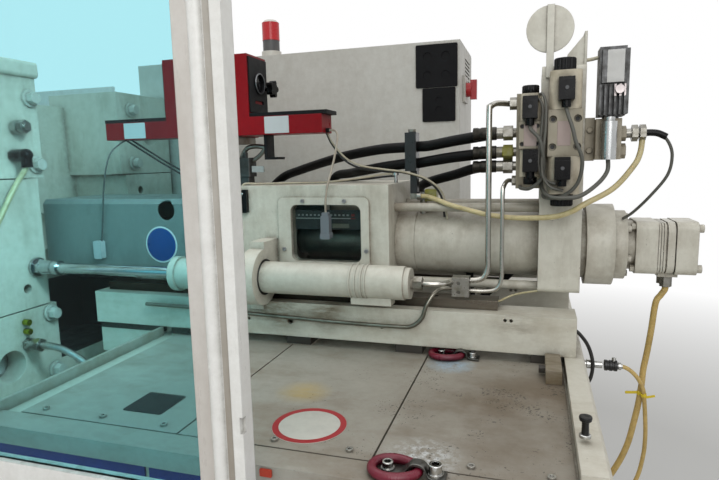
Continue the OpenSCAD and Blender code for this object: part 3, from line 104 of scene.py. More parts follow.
def length_prop(label, about, metres):
    """A length in metres that a user may change."""
    return bpy.props.FloatProperty(
        name=label, description=about, subtype="DISTANCE", unit="LENGTH", min=0.0001, default=metres)


class MachineColours(bpy.types.PropertyGroup):
    """Colours of the machine's finishes."""
    paint: colour_prop("Machine paint", "Cream enamel of castings, cylinders and covers", "#d2cfc2")
    guard: colour_prop("Guard paint", "White enamel of the guard", "#f2f2ee")
    paint_soil: colour_prop("Soil", "Oily soil that settles on the cream enamel", "#77684f")
    cabinet: colour_prop("Cabinet paint", "Powder coat of the switch cabinet", "#cbcac3")
    deck: colour_prop("Deck paint", "Enamel of the deck sheets", "#b1aea4")
    deck_soil: colour_prop("Deck soil", "Brown film that shoes leave on the deck", "#7c6c56")
    blue: colour_prop("Bed blue", "Ultramarine enamel of the bed's side panels", "#1c2a86")
    red: colour_prop("Doser red", "Red powder coat of the doser", "#8a0a15")
    shackle: colour_prop("Shackle red", "Dark red powder coat of the load brackets", "#74142c")
    tint: colour_prop("Guard tint", "Tinted polycarbonate of the guard", "#afebf3")
    sheet: colour_prop("Cover sheet", "Grey-green enamel of the barrel's cover", "#78827f")
    cast: colour_prop("Valve casting", "Beige coated iron of the valves", "#a59d8b")
    rail: colour_prop("Rail", "Hardened rail under brown oil", "#4c4136")
    mustard: colour_prop("Mustard hose", "Translucent mustard PVC of the drain hoses", "#c9ad6b")
    cream_hose: colour_prop("Cream hose", "Yellowed PVC of the thin hose", "#cfc295")


class MachineSizes(bpy.types.PropertyGroup):
    """Sizes of the machine's hoses and cables."""
    pressure_hose: length_prop("Pressure hose", "Outside diameter of the long black hoses", 0.024)
    short_hose: length_prop("Short hose", "Outside diameter of the short black hose", 0.022)
    loop_hose: length_prop("Loop hose", "Outside diameter of the black loop under the end plate", 0.018)
    cream_hose: length_prop("Cream hose", "Outside diameter of the cream hose", 0.011)
    drain_hose: length_prop("Drain hose", "Outside diameter of the motor's drain hose", 0.013)
    thin_drain: length_prop("Thin drain hose", "Outside diameter of the hose with the quick coupling",
                            0.009)
    hanging_cable: length_prop("Hanging cable", "Diameter of the connector's cable", 0.005)


def colours():
    """The scene's colours."""
    return bpy.context.scene.machine_colours


def sizes():
    """The scene's sizes."""
    return bpy.context.scene.machine_sizes


# Shader nodes


def add(tree, kind, values=(), **settings):
    """One shader node: settings are its properties, values its sockets in order or by name.

    A value is a number, a vector, a colour, another node's output, or a node, whose first output is meant.
    """
    made = tree.nodes.new("ShaderNode" + kind)
    for name, value in settings.items():
        setattr(made, name, value)
    for socket, value in values.items() if isinstance(values, dict) else enumerate(values):
        if isinstance(value, bpy.types.Node):
            value = value.outputs[0]
        if isinstance(value, bpy.types.NodeSocket):
            tree.links.new(value, made.inputs[socket])
        else:
            made.inputs[socket].default_value = value
    return made


def coords(tree, stretch=(1, 1, 1)):
    """Object coordinates in metres; a stretch below 1 draws a pattern out along that axis."""
    place = add(tree, "TexCoord").outputs["Object"]
    return add(tree, "Mapping", {"Vector": place, "Scale": stretch})


def coat(tree, base, amount, colour, share=1.0):
    """A film of a linear colour over the base: the amount says where it lies, the share how thickly."""
    if share < 1:
        amount = add(tree, "Math", (amount, share), operation="MULTIPLY")
    base, colour = ((*shade, 1.0) if isinstance(shade, tuple) else shade for shade in (base, colour))
    return add(tree, "Mix", {0: amount, 6: base, 7: colour}, data_type="RGBA").outputs[2]


def patchy(tree, mask, pattern, low, high, least, most):
    """A mask thinned by a pattern: least of it is left where the pattern is low, most where it is high."""
    kept = add(tree, "MapRange", (pattern, low, high, least, most))
    return add(tree, "Math", (mask, kept), operation="MULTIPLY")


def near(tree, place, centre, radius, soft):
    """1 within a radius of a point of the frame, falling to 0 over the soft width."""
    gap = add(tree, "VectorMath", {0: place, 1: tuple(centre)}, operation="DISTANCE").outputs["Value"]
    return add(tree, "MapRange", (gap, radius + soft, radius))


def inside(tree, place, low, high):
    """1 in a box between two points in machine millimetres, 0 outside."""
    a = at(*low)
    b = at(*high)
    gap = add(tree, "VectorMath", {0: place, 1: tuple((a + b) / 2)}, operation="SUBTRACT")
    gap = add(tree, "VectorMath", {0: gap}, operation="ABSOLUTE")
    past = add(tree, "VectorMath", {0: gap, 1: tuple((b - a) / 2)}, operation="SUBTRACT")
    axes = add(tree, "SeparateXYZ", {0: past}).outputs
    most = add(tree, "Math", (axes[0], axes[1]), operation="MAXIMUM")
    most = add(tree, "Math", (most, axes[2]), operation="MAXIMUM")
    return add(tree, "Math", (most, 0.0), operation="LESS_THAN")


def corners(tree, reach, samples=6):
    """Soil and painted shade in inner corners, from ambient occlusion: 1 where walls meet within reach."""
    shut = add(tree, "AmbientOcclusion", {"Distance": reach}, samples=samples).outputs["AO"]
    return add(tree, "MapRange", (shut, 0.92, 0.35))


def relief(tree, height, strength, distance, edge=0.0):
    """Bumped normal from a height, over corners that look rounded by the edge radius."""
    values = {"Height": height, "Strength": strength, "Distance": distance}
    if edge:
        values["Normal"] = add(tree, "Bevel", {"Radius": edge}, samples=4)
    return add(tree, "Bump", values)


def surface(name, build, **sockets):
    """A material with one principled shader; build(tree) gives the sockets that patterns drive."""
    made = bpy.data.materials.new(name)
    made.use_nodes = True
    tree = made.node_tree
    tree.nodes.clear()
    driven = build(tree)
    shader = add(tree, "BsdfPrincipled", {**sockets, **driven})
    add(tree, "OutputMaterial", {"Surface": shader})
    return made


# Finishes


def enamel(name, colour, soil, grime=0.5, rough=0.42, stretch=(1, 1, 0.25), specks=0.5, edge=0.0025,
           reach=0.03, over=None, gloss=0.5):
    """Sprayed enamel on iron: clouded, oily, specked, with soil and painted shade in its corners; over() adds
    its own patches.
    """

    def build(tree):
        place = coords(tree)
        clouds = add(tree, "TexNoise", {"Vector": place, "Scale": 6, "Detail": 5, "Roughness": 0.6})
        smears = add(tree, "TexNoise", {"Vector": coords(tree, stretch), "Scale": 22, "Detail": 6,
                                        "Roughness": 0.7})
        dots = add(tree, "TexNoise", {"Vector": place, "Scale": 160, "Detail": 2, "Roughness": 0.5})
        grit = add(tree, "TexNoise", {"Vector": place, "Scale": 45, "Detail": 5, "Roughness": 0.75})
        both = add(tree, "Math", (clouds, smears), operation="ADD")
        soiled = add(tree, "MapRange", (both, 0.98, 1.32, 0.0, grime))
        # soil and painted shade: darker where walls meet, from ambient occlusion
        inner = patchy(tree, corners(tree, reach), grit, 0.3, 0.62, 0.35, 0.95)
        base = coat(tree, tuple(colour), add(tree, "MapRange", (grit, 0.35, 0.65, 0.0, 0.16)), tuple(soil))
        base = coat(tree, base, soiled, tuple(soil))
        base = coat(tree, base, inner, tuple(c * 0.5 for c in soil), 0.8)
        base = coat(tree, base, add(tree, "MapRange", (dots, 0.74, 0.77)), tuple(c * 0.35 for c in soil),
                    specks)
        if over:
            base = over(tree, place, base)
        shine = add(tree, "MapRange", (smears, 0.35, 0.7, rough - 0.08, rough + 0.16))
        # orange peel, drawn as 4 mm cells because real ones are too fine to show
        peel = add(tree, "TexNoise", {"Vector": place, "Scale": 250, "Detail": 2, "Roughness": 0.4})
        return {"Base Color": base, "Roughness": shine, "Normal": relief(tree, peel, 0.12, 0.0006, edge)}

    return surface(name, build, IOR=1.5, **{"Specular IOR Level": gloss})


def deck_enamel():
    """Enamel of the deck sheets: walked on, so a brown film, black specks, scuffs and old stains, with soil
    and painted shade in its corners.
    """

    def build(tree):
        place = coords(tree)
        soil = tuple(colours().deck_soil)
        clouds = add(tree, "TexNoise", {"Vector": place, "Scale": 5, "Detail": 6, "Roughness": 0.62})
        drag = add(tree, "TexNoise", {"Vector": coords(tree, (0.35, 1, 1)), "Scale": 16, "Detail": 6,
                                      "Roughness": 0.7})
        grit = add(tree, "TexNoise", {"Vector": place, "Scale": 70, "Detail": 5, "Roughness": 0.8})
        dots = add(tree, "TexNoise", {"Vector": place, "Scale": 210, "Detail": 4, "Roughness": 0.65})
        base = coat(tree, tuple(colours().deck), add(tree, "MapRange", (grit, 0.3, 0.7, 0.0, 0.2)), soil)
        film = add(tree, "Math", (clouds, drag), operation="ADD")
        base = coat(tree, base, add(tree, "MapRange", (film, 0.95, 1.3, 0.0, 0.55)), soil)
        # the sheet at the injection end is the brownest
        far_end = near(tree, place, at(1250, -420, DECK_Z), 0.1, 0.4)
        worn = patchy(tree, far_end, clouds, 0.3, 0.6, 0.4, 1.0)
        base = coat(tree, base, worn, linear("#5f503d"), 0.8)
        # yellow stain, pale blue stain and chalky scuff: place, radius, soft width, pattern and its limits
        spots = [
            ((849, -428), 0.006, 0.05, drag, (0.3, 0.6, 0.2, 0.75), "#c9a94a"),
            ((1089, -226), 0.02, 0.035, grit, (0.35, 0.6, 0.1, 0.8), "#a9c4d6"),
            ((1100, -600), 0.02, 0.045, grit, (0.45, 0.6, 0.0, 0.7), "#dfe3e4"),
        ]
        for spot, radius, soft, pattern, limits, colour in spots:
            mark = near(tree, place, at(*spot, DECK_Z), radius, soft)
            base = coat(tree, base, patchy(tree, mark, pattern, *limits), linear(colour))
        # black specks lie in drifts
        clumps = add(tree, "TexNoise", {"Vector": place, "Scale": 11, "Detail": 4, "Roughness": 0.7})
        drifts = patchy(tree, add(tree, "MapRange", (clumps, 0.4, 0.58)), far_end, 0.0, 1.0, 0.25, 1.0)
        many = add(tree, "MapRange", (drifts, 0.0, 1.0, 0.76, 0.56))
        fleck = add(tree, "Math", (dots, many), operation="GREATER_THAN")
        base = coat(tree, base, fleck, linear("#2e2a25"), 0.8)
        # soil and painted shade: darker where walls meet
        base = coat(tree, base, corners(tree, 0.02), linear("#4a4136"), 0.7)
        shine = add(tree, "MapRange", (clouds, 0.3, 0.7, 0.34, 0.6))
        return {"Base Color": base, "Roughness": shine, "Normal": relief(tree, grit, 0.1, 0.0008, 0.002)}

    return surface("Walked deck enamel", build, IOR=1.5)


def metal(name, colour, rough, grain=(1, 1, 1), scale=60, stain=None, stain_amount=0.0, edge=0.001,
          over=None):
    """Bare or plated metal: a fine drawn grain, uneven sheen, stain where oil or rust has settled, and soil
    and painted shade in its corners.
    """

    def build(tree):
        place = coords(tree)
        drawn = add(tree, "TexNoise", {"Vector": coords(tree, grain), "Scale": scale, "Detail": 4,
                                       "Roughness": 0.6})
        clouds = add(tree, "TexNoise", {"Vector": place, "Scale": 18, "Detail": 5, "Roughness": 0.65})
        base = coat(tree, colour, add(tree, "MapRange", (drawn, 0.3, 0.7, 0.0, 0.35)),
                    tuple(c * 0.55 for c in colour))
        if stain:
            dull = add(tree, "MapRange", (clouds, 0.45, 0.68, 0.0, stain_amount))
            base = coat(tree, base, dull, stain)
        if over:
            base = over(tree, place, base)
        # soil and painted shade: darker where walls meet
        base = coat(tree, base, corners(tree, 0.012, 4), linear("#1c1a17"), 0.6)
        shine = add(tree, "MapRange", (clouds, 0.3, 0.7, max(rough - 0.08, 0.03), rough + 0.12))
        return {"Base Color": base, "Roughness": shine, "Normal": relief(tree, drawn, 0.06, 0.0004, edge)}

    return surface(name, build, Metallic=1.0)


def moulded(name, colour, rough=0.45, dust=0.25, edge=0.001, over=None, gloss=0.5):
    """Moulded plastic or rubber: a fine texture under a film of pale dust that lies thicker in patches."""

    def build(tree):
        place = coords(tree)
        grain = add(tree, "TexNoise", {"Vector": place, "Scale": 420, "Detail": 3, "Roughness": 0.6})
        patches = add(tree, "TexNoise", {"Vector": place, "Scale": 26, "Detail": 5, "Roughness": 0.65})
        pale = tuple(0.7 * c + 0.03 for c in colour)
        base = coat(tree, colour, add(tree, "MapRange", (patches, 0.42, 0.68, 0.0, dust)), pale)
        if over:
            base = over(tree, place, base)
        shine = add(tree, "MapRange", (patches, 0.35, 0.7, rough - 0.08, rough + 0.15))
        return {"Base Color": base, "Roughness": shine, "Normal": relief(tree, grain, 0.15, 0.0004, edge)}

    return surface(name, build, **{"Specular IOR Level": gloss})


def rubber_hose():
    """Wrapped hydraulic hose: black rubber with the cross lay of its cloth wrap, by the piece's UV map."""

    def build(tree):
        along = add(tree, "UVMap")
        # the cloth's cross lay: two crossed waves of 6 mm
        lay = []
        for turn in (0.9, -0.9):
            slant = add(tree, "Mapping", {"Vector": along, "Rotation": (0, 0, turn)})
            lay.append(add(tree, "TexWave", {"Vector": slant, "Scale": 52.0}).outputs["Fac"])
        weave = add(tree, "Math", lay, operation="MAXIMUM")
        patches = add(tree, "TexNoise", {"Vector": coords(tree), "Scale": 30, "Detail": 5,
                                         "Roughness": 0.7})
        base = coat(tree, linear("#060606"), add(tree, "MapRange", (patches, 0.5, 0.75, 0.0, 0.25)),
                    linear("#191815"))
        shine = add(tree, "MapRange", (patches, 0.3, 0.7, 0.42, 0.62))
        return {"Base Color": base, "Roughness": shine, "Normal": relief(tree, weave, 0.25, 0.0008)}

    return surface("Wrapped black hydraulic hose", build, **{"Specular IOR Level": 0.15})


def pvc_hose(name, colour, soil, through=0.2, rough=0.3):
    """Soft PVC hose: slightly see-through wall, yellowed along its length, a film of dirt."""

    def build(tree):
        place = coords(tree)
        age = add(tree, "TexNoise", {"Vector": place, "Scale": 12, "Detail": 5, "Roughness": 0.6})
        film = add(tree, "TexNoise", {"Vector": place, "Scale": 70, "Detail": 4, "Roughness": 0.7})
        base = coat(tree, colour, add(tree, "MapRange", (age, 0.35, 0.7, 0.0, 0.45)), soil)
        base = coat(tree, base, add(tree, "MapRange", (film, 0.5, 0.75, 0.0, 0.4)),
                    tuple(c * 0.5 for c in soil))
        return {"Base Color": base, "Normal": relief(tree, film, 0.08, 0.0005)}

    return surface(name, build, Roughness=rough,
                   **{"Subsurface Weight": through, "Subsurface Radius": (0.004, 0.003, 0.0015)})


def clear_sheet(name, colour, rough=0.02):
    """Clear or tinted plastic sheet: light passes, a little haze and faint wipe marks."""

    def build(tree):
        wipes = add(tree, "TexNoise", {"Vector": coords(tree, (1, 1, 0.3)), "Scale": 9, "Detail": 6,
                                       "Roughness": 0.7})
        shine = add(tree, "MapRange", (wipes, 0.5, 0.8, rough, rough + 0.1))
        base = coat(tree, colour, add(tree, "MapRange", (wipes, 0.5, 0.8, 0.0, 0.12)),
                    tuple(c * 0.8 for c in colour))
        return {"Base Color": base, "Roughness": shine}

    return surface(name, build, IOR=1.2, **{"Transmission Weight": 1.0})


def housing_room(tree, place, base):
    """The coupling room inside the housing is unlit and oily; a grey colour paints its shade."""
    return coat(tree, base, inside(tree, place, (596, -104.6, -90), (HOUSING_X1 - 17, 104.6, 126)),
                linear("#8b9090"))


def frame_screws(tree, place, base):
    """Bright screws on the window frame."""
    return coat(tree, base, inside(tree, place, (670, -142, -20), (900, -135.2, 120)), linear("#8f9192"))


def plug_screws(tree, place, base):
    """Bright screw heads on the square plugs."""
    right = inside(tree, place, (1280, -226, 150), (1312, -219.2, 340))
    left = inside(tree, place, (1220, -214, 170), (1250, -206.2, 310))
    return coat(tree, base, add(tree, "Math", (right, left), operation="MAXIMUM"), linear("#5b5c5e"))


def pipework_parts(tree, place, base):
    """Black elbow and two yellow-green sensor plugs on the platen."""
    elbow = inside(tree, place, (-1, -256, 192), (64, -216, 246))
    plugs = inside(tree, place, (-1, -262, -232), (18, -242, -188))
    return coat(tree, coat(tree, base, elbow, linear("#131314")), plugs, linear("#9aa52c"))


def cylinder_soil_and_shade(tree, place, base):
    """Brown film on the injection cylinder, with painted shade that thickens it towards its top."""
    film = add(tree, "TexNoise", {"Vector": coords(tree, (0.4, 1, 1)), "Scale": 13, "Detail": 6,
                                  "Roughness": 0.65})
    high = add(tree, "SeparateXYZ", {0: place}).outputs[2]
    # painted shade: the film grows towards the cylinder's top, which lies darker in the light
    top = add(tree, "MapRange", (high, float(at(0, 0, 30)[2]), float(at(0, 0, 72)[2])))
    reach = add(tree, "Math", (top, 0.45), operation="MULTIPLY")
    reach = add(tree, "Math", (reach, 0.16), operation="ADD")
    amount = patchy(tree, reach, film, 0.3, 0.62, 0.35, 1.0)
    return coat(tree, base, amount, linear("#5c4d37"))


def bed_well_shadow(tree, place, base):
    """Painted shadow in the well of the bed under the mould: near black, as the well is unlit."""
    return coat(tree, base, inside(tree, place, (-1200, -140, -900), (-3, 640, -150)), linear("#262929"))


def valve_screws(tree, place, base):
    """Black socket screws that hold the two valves."""
    found = [near(tree, place, at(LARGE_VALVE_X + x, VALVE_Y - 66, LARGE_VALVE_Z + z), 0.0071, 0.0002)
             for x in (-22, 22) for z in (-26, 26)]
    found += [near(tree, place, at(SMALL_VALVE_X + x, VALVE_Y - 60.5, SMALL_VALVE_Z + z), 0.0046, 0.0002)
              for x in (-14, 14) for z in (-17, 17)]
    for spot in found:
        base = coat(tree, base, spot, linear("#1b1b1c"))
    return base


def beam_stains_and_shade(tree, place, base):
    """Brown oil that ran from the rail over the near beam, the oiled stop block on the rim, and painted shade
    in the gap under the beam and in the socket beside the block.
    """
    streak = add(tree, "TexNoise", {"Vector": coords(tree, (0.35, 1, 1.4)), "Scale": 30, "Detail": 5,
                                    "Roughness": 0.7})
    band = add(tree, "Math", (near(tree, place, at(690, -182, -128), 0.02, 0.07),
                              near(tree, place, at(800, -182, -132), 0.01, 0.06)), operation="MAXIMUM")
    band = patchy(tree, band, streak, 0.36, 0.6, 0.15, 1.0)
    end = patchy(tree, near(tree, place, at(1215, -182, -138), 0.01, 0.05), streak, 0.4, 0.65, 0.0, 0.6)
    base = coat(tree, base, add(tree, "Math", (band, end), operation="MAXIMUM"), linear("#5f4a2c"))
    block = inside(tree, place, (1271.5, -290, DECK_Z - 0.5), (1303, -186, -180))
    base = coat(tree, base, patchy(tree, block, streak, 0.3, 0.6, 0.65, 0.95), linear("#66573f"))
    # painted shade: dark brown in the gap under the near beam, over its pads, and in the socket beside the
    # stop block
    gap = inside(tree, place, (-300, -190, DECK_Z - 0.5), (1331, -90, -205.2))
    socket = inside(tree, place, (1255, -250, -222), (1271.4, -230, -200))
    return coat(tree, base, add(tree, "Math", (gap, socket), operation="MAXIMUM"), linear("#35302a"))


def post_shade_and_edge(tree, place, base):
    """Painted shade in the groove of the door's post, and a greyer tint along its inner edge."""
    wipe = add(tree, "TexNoise", {"Vector": coords(tree, (1, 1, 0.2)), "Scale": 14, "Detail": 5,
                                  "Roughness": 0.6})
    groove = inside(tree, place, (896.6, -780, -260), (908.6, -760, 570))
    inner = inside(tree, place, (850, -780, -260), (876.5, -760, 570))
    # painted shade: a darker beige in the groove
    base = coat(tree, base, patchy(tree, groove, wipe, 0.3, 0.65, 0.55, 0.9), linear("#8f8474"))
    # greyer along the inner edge
    return coat(tree, base, patchy(tree, inner, wipe, 0.3, 0.65, 0.35, 0.6), linear("#a89c90"))


def fittings():
    """Zinc-plated hydraulic fittings, with the hoses' black clamp and the olive capped block among them."""

    def build(tree):
        place = coords(tree)
        clouds = add(tree, "TexNoise", {"Vector": place, "Scale": 40, "Detail": 5, "Roughness": 0.65})
        base = coat(tree, linear("#a9a7a0"), add(tree, "MapRange", (clouds, 0.35, 0.7)), linear("#6f6a5c"))
        clamp = inside(tree, place, (950, -60, 116), (992, 4, 258))
        block = add(tree, "Math", (inside(tree, place, (1001, -40, 96), (1032, 0, 128)),
                                   inside(tree, place, (1177, -92, 190), (1201, -48, 222))),
                    operation="MAXIMUM")
        base = coat(tree, base, clamp, linear("#151516"))
        base = coat(tree, base, patchy(tree, block, clouds, 0.3, 0.6, 0.7, 1.0), linear("#8a861f"))
        # soil and painted shade: darker where walls meet
        base = coat(tree, base, corners(tree, 0.012, 4), linear("#1c1a17"), 0.55)
        coated = add(tree, "Math", (clamp, block), operation="MAXIMUM")
        coated = add(tree, "Math", (coated, 0.9), operation="MULTIPLY")
        bare = add(tree, "Math", (0.9, coated), operation="SUBTRACT")
        shine = add(tree, "MapRange", (clouds, 0.3, 0.7, 0.24, 0.44))
        return {"Base Color": base, "Metallic": bare, "Roughness": shine,
                "Normal": relief(tree, clouds, 0.06, 0.0004, 0.001)}

    return surface("Zinc-plated fittings", build)


def amplifier_finish():
    """Grey anodised amplifier case with a bare pale label field."""

    def build(tree):
        place = coords(tree)
        clouds = add(tree, "TexNoise", {"Vector": place, "Scale": 60, "Detail": 4, "Roughness": 0.6})
        base = coat(tree, linear("#5a5b5c"), add(tree, "MapRange", (clouds, 0.35, 0.7)), linear("#3c3b39"))
        label = inside(tree, place, (SIDE_X + 15, -160, 330), (SIDE_X + 44.6, -155.6, 389))
        cap = inside(tree, place, (SIDE_X + 26, -170, 304), (SIDE_X + 48, -156.5, 328))
        base = coat(tree, base, label, linear("#b4b4b1"))
        base = coat(tree, base, cap, linear("#c2b9b8"))
        # soil and painted shade: darker where walls meet
        base = coat(tree, base, corners(tree, 0.01, 4), linear("#171716"), 0.7)
        printed = add(tree, "Math", (label, 0.6), operation="MULTIPLY")
        bare = add(tree, "Math", (0.7, printed), operation="SUBTRACT")
        shine = add(tree, "MapRange", (clouds, 0.3, 0.7, 0.3, 0.5))
        return {"Base Color": base, "Metallic": bare, "Roughness": shine,
                "Normal": relief(tree, clouds, 0.05, 0.0003, 0.0008)}

    return surface("Anodised amplifier case", build)


def solenoid_finish():
    """Beige coated coils, and the bright can of the proportional valve."""

    def build(tree):
        place = coords(tree)
        clouds = add(tree, "TexNoise", {"Vector": place, "Scale": 28, "Detail": 5, "Roughness": 0.65})
        base = coat(tree, linear("#cbc2ad"), add(tree, "MapRange", (clouds, 0.4, 0.68, 0.0, 0.5)),
                    linear("#867b62"))
        can = inside(tree, place, (SIDE_X + 4, -176, 184), (SIDE_X + 40, -138, 268))
        base = coat(tree, base, can, linear("#b9bbbb"))
        # soil and painted shade: darker where walls meet
        base = coat(tree, base, corners(tree, 0.015, 4), linear("#2e2a20"), 0.8)
        bare = add(tree, "Math", (can, 0.95), operation="MULTIPLY")
        shine = add(tree, "MapRange", (clouds, 0.3, 0.7, 0.4, 0.6))
        polish = add(tree, "Math", (can, 0.24), operation="MULTIPLY")
        shine = add(tree, "Math", (shine, polish), operation="SUBTRACT")
        return {"Base Color": base, "Metallic": bare, "Roughness": shine,
                "Normal": relief(tree, clouds, 0.08, 0.0005, 0.001)}

    return surface("Coated coils and bright can", build)


def beacon_finish():
    """Grey lamp base over a pale foot, with a pale cap."""

    def build(tree):
        place = coords(tree)
        high = add(tree, "SeparateXYZ", {0: place}).outputs[2]
        foot = add(tree, "Math", (high, float(at(0, 0, 567)[2])), operation="LESS_THAN")
        cap = add(tree, "Math", (high, float(at(0, 0, 655)[2])), operation="GREATER_THAN")
        patches = add(tree, "TexNoise", {"Vector": place, "Scale": 26, "Detail": 5, "Roughness": 0.65})
        base = coat(tree, linear("#4c4c4d"), add(tree, "MapRange", (patches, 0.42, 0.68, 0.0, 0.3)),
                    linear("#6f6d69"))
        base = coat(tree, base, add(tree, "Math", (foot, cap), operation="MAXIMUM"), linear("#c9c6bd"))
        shine = add(tree, "MapRange", (patches, 0.3, 0.7, 0.36, 0.55))
        grain = add(tree, "TexNoise", {"Vector": place, "Scale": 420, "Detail": 3, "Roughness": 0.6})
        return {"Base Color": base, "Roughness": shine, "Normal": relief(tree, grain, 0.12, 0.0004, 0.001)}

    return surface("Lamp base of grey and pale plastic", build)


def rail_finish():
    """Hardened rail: brown oil over drawn steel, wiped lighter at the injection end."""

    def build(tree):
        place = coords(tree)
        drawn = add(tree, "TexNoise", {"Vector": coords(tree, (0.06, 1, 1)), "Scale": 120, "Detail": 4,
                                       "Roughness": 0.6})
        clouds = add(tree, "TexNoise", {"Vector": coords(tree, (0.3, 1, 1)), "Scale": 14, "Detail": 5,
                                        "Roughness": 0.65})
        along = add(tree, "SeparateXYZ", {0: place})
        start, end = (float(at(x, 0, 0)[0]) for x in (960, 1080))
        wiped = add(tree, "MapRange", (along, start, end))
        wiped = add(tree, "Math", (wiped, 0.75), operation="MULTIPLY")
        base = coat(tree, tuple(colours().rail), add(tree, "MapRange", (clouds, 0.35, 0.68)),
                    linear("#1f1914"))
        base = coat(tree, base, patchy(tree, wiped, drawn, 0.3, 0.7, 0.6, 1.0), linear("#8d867a"))
        # soil and painted shade: darker where walls meet
        base = coat(tree, base, corners(tree, 0.012, 4), linear("#14100d"), 0.6)
        shine = add(tree, "MapRange", (clouds, 0.3, 0.7, 0.22, 0.42))
        return {"Base Color": base, "Roughness": shine, "Normal": relief(tree, drawn, 0.06, 0.0004, 0.001)}

    return surface("Hardened rail under brown oil", build, Metallic=0.85)


# Meshes


def smooth_path(points, steps=8):
    """Catmull-Rom curve through the points, each span cut into equal steps; the end points count twice."""
    knots = np.asarray(points, float)
    held = np.vstack([knots[:1], knots, knots[-1:]])
    a, b, c, d = (held[i:len(knots) - 1 + i, None] for i in range(4))
    t = (np.arange(steps) / steps)[None, :, None]
    spans = 2 * b + (c - a) * t + (2 * a - 5 * b + 4 * c - d) * t ** 2
    spans = 0.5 * (spans + (3 * b - a - 3 * c + d) * t ** 3)
    return np.vstack([spans.reshape(-1, 3), knots[-1:]])


def grid_faces(rows, columns, wrap):
    """Quads of a grid of points, row after row; wrap joins the last column to the first."""
    row = np.arange(rows - 1)[:, None]
    column = np.arange(columns if wrap else columns - 1)[None, :]
    right = (column + 1) % columns
    quads = [row * columns + column, row * columns + right, (row + 1) * columns + right,
             (row + 1) * columns + column]
    return np.stack(quads, axis=-1).reshape(-1, 4)


def make_piece(name, points, faces, material, body, uv=None, sharp=35):
    """A mesh object from rows of points and lists of corners; it rides on a body if one is given."""
    mesh = bpy.data.meshes.new(name)
    mesh.from_pydata(np.asarray(points).reshape(-1, 3).tolist(), [],
                     [list(map(int, face)) for face in faces])
    if uv is not None:
        corner = np.zeros(len(mesh.loops), np.int32)
        mesh.loops.foreach_get("vertex_index", corner)
        layer = mesh.uv_layers.new(name="UVMap")
        layer.data.foreach_set("uv", np.asarray(uv, np.float32)[corner].ravel())
    mesh.polygons.foreach_set("use_smooth", [True] * len(mesh.polygons))
    mesh.set_sharp_from_angle(angle=math.radians(sharp))
    mesh.materials.append(material)
    piece = bpy.data.objects.new(name, mesh)
    bpy.context.scene.collection.objects.link(piece)
    if body:
        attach(piece, body)
    return piece


def swept(path, radius, sides=20):
    """Points, faces and UV of a tube: rings square to the path, path + radius (cos v side + sin v up)."""
    path = np.asarray(path, float)
    along = np.gradient(path, axis=0)
    along /= np.linalg.norm(along, axis=1)[:, None]
    guide = np.eye(3)[np.argmin(np.abs(along).max(axis=0))]
    side = np.cross(along, guide)
    side /= np.linalg.norm(side, axis=1)[:, None]
    up = np.cross(along, side)
    turn = 2 * np.pi * np.arange(sides) / sides
    reach = np.broadcast_to(np.asarray(radius, float), (len(path),))
    ring = np.cos(turn)[None, :, None] * side[:, None] + np.sin(turn)[None, :, None] * up[:, None]
    points = path[:, None] + reach[:, None, None] * ring
    count = len(path)
    faces = [*grid_faces(count, sides, True), np.arange(sides)[::-1],
             np.arange(sides) + (count - 1) * sides]
    run = np.concatenate([[0], np.cumsum(np.linalg.norm(np.diff(path, axis=0), axis=1))])
    uv = np.stack(np.broadcast_arrays(run[:, None], (turn * reach.mean())[None, :]), axis=-1)
    return points.reshape(-1, 3), faces, uv.reshape(-1, 2)


def tube(name, path, diameter, material, body, sides=20):
    """A hose, cable or pipe along a path of frame points."""
    points, faces, uv = swept(path, diameter / 2, sides)
    return make_piece(name, points, faces, material, body, uv)


def merged(parts):
    """Several (points, faces) parts as one."""
    points = []
    faces = []
    count = 0
    for some_points, some_faces in parts:
        points.append(np.asarray(some_points).reshape(-1, 3))
        faces += [np.asarray(face) + count for face in some_faces]
        count += len(points[-1])
    return np.vstack(points), faces


def turned(profile, base, axis, sides=32):
    """Turned part: each (distance, radius) of the profile is a ring square to the axis, with flat ends."""
    profile = np.asarray(profile, float)
    axis = np.asarray(axis, float) / np.linalg.norm(axis)
    path = np.asarray(base) + profile[:, :1] * axis
    guide = np.eye(3)[np.argmin(np.abs(axis))]
    side = np.cross(axis, guide)
    side /= np.linalg.norm(side)
    up = np.cross(axis, side)
    turn = 2 * np.pi * np.arange(sides) / sides
    ring = np.cos(turn)[:, None] * side + np.sin(turn)[:, None] * up
    points = path[:, None] + profile[:, 1, None, None] * ring[None]
    count = len(profile)
    faces = [*grid_faces(count, sides, True), np.arange(sides)[::-1],
             np.arange(sides) + (count - 1) * sides]
    return points.reshape(-1, 3), faces


def rounded_outline(width, height, corner, per_corner=7):
    """Rectangle with an arc at each corner, counterclockwise, as rows of two."""
    turn = (np.arange(4)[:, None] * np.pi / 2 + np.linspace(0, np.pi / 2, per_corner)).ravel()
    signs = np.repeat([[1, 1], [-1, 1], [-1, -1], [1, -1]], per_corner, axis=0)
    centre = signs * [width / 2 - corner, height / 2 - corner]
    return centre + corner * np.stack([np.cos(turn), np.sin(turn)], axis=1)


def slab(centre, across, up, width, height, depth, corner, bevel=0.0005, per_corner=7):
    """Rounded plate on a plane: rings at the foot, under the bevel and on top, closed by flat faces."""
    across = np.asarray(across, float)
    up = np.asarray(up, float)
    out = np.cross(across, up)
    corner = max(corner, bevel * 1.5)
    rings = [(0.0, 0.0), (depth - bevel, 0.0), (depth, bevel)]
    points = []
    for rise, inset in rings:
        flat = rounded_outline(width - 2 * inset, height - 2 * inset, corner - inset, per_corner)
        points.append(np.asarray(centre) + flat[:, :1] * across + flat[:, 1:] * up + rise * out)
    sides = 4 * per_corner
    faces = [*grid_faces(3, sides, True), np.arange(sides)[::-1], np.arange(sides) + 2 * sides]
    return np.vstack(points), faces


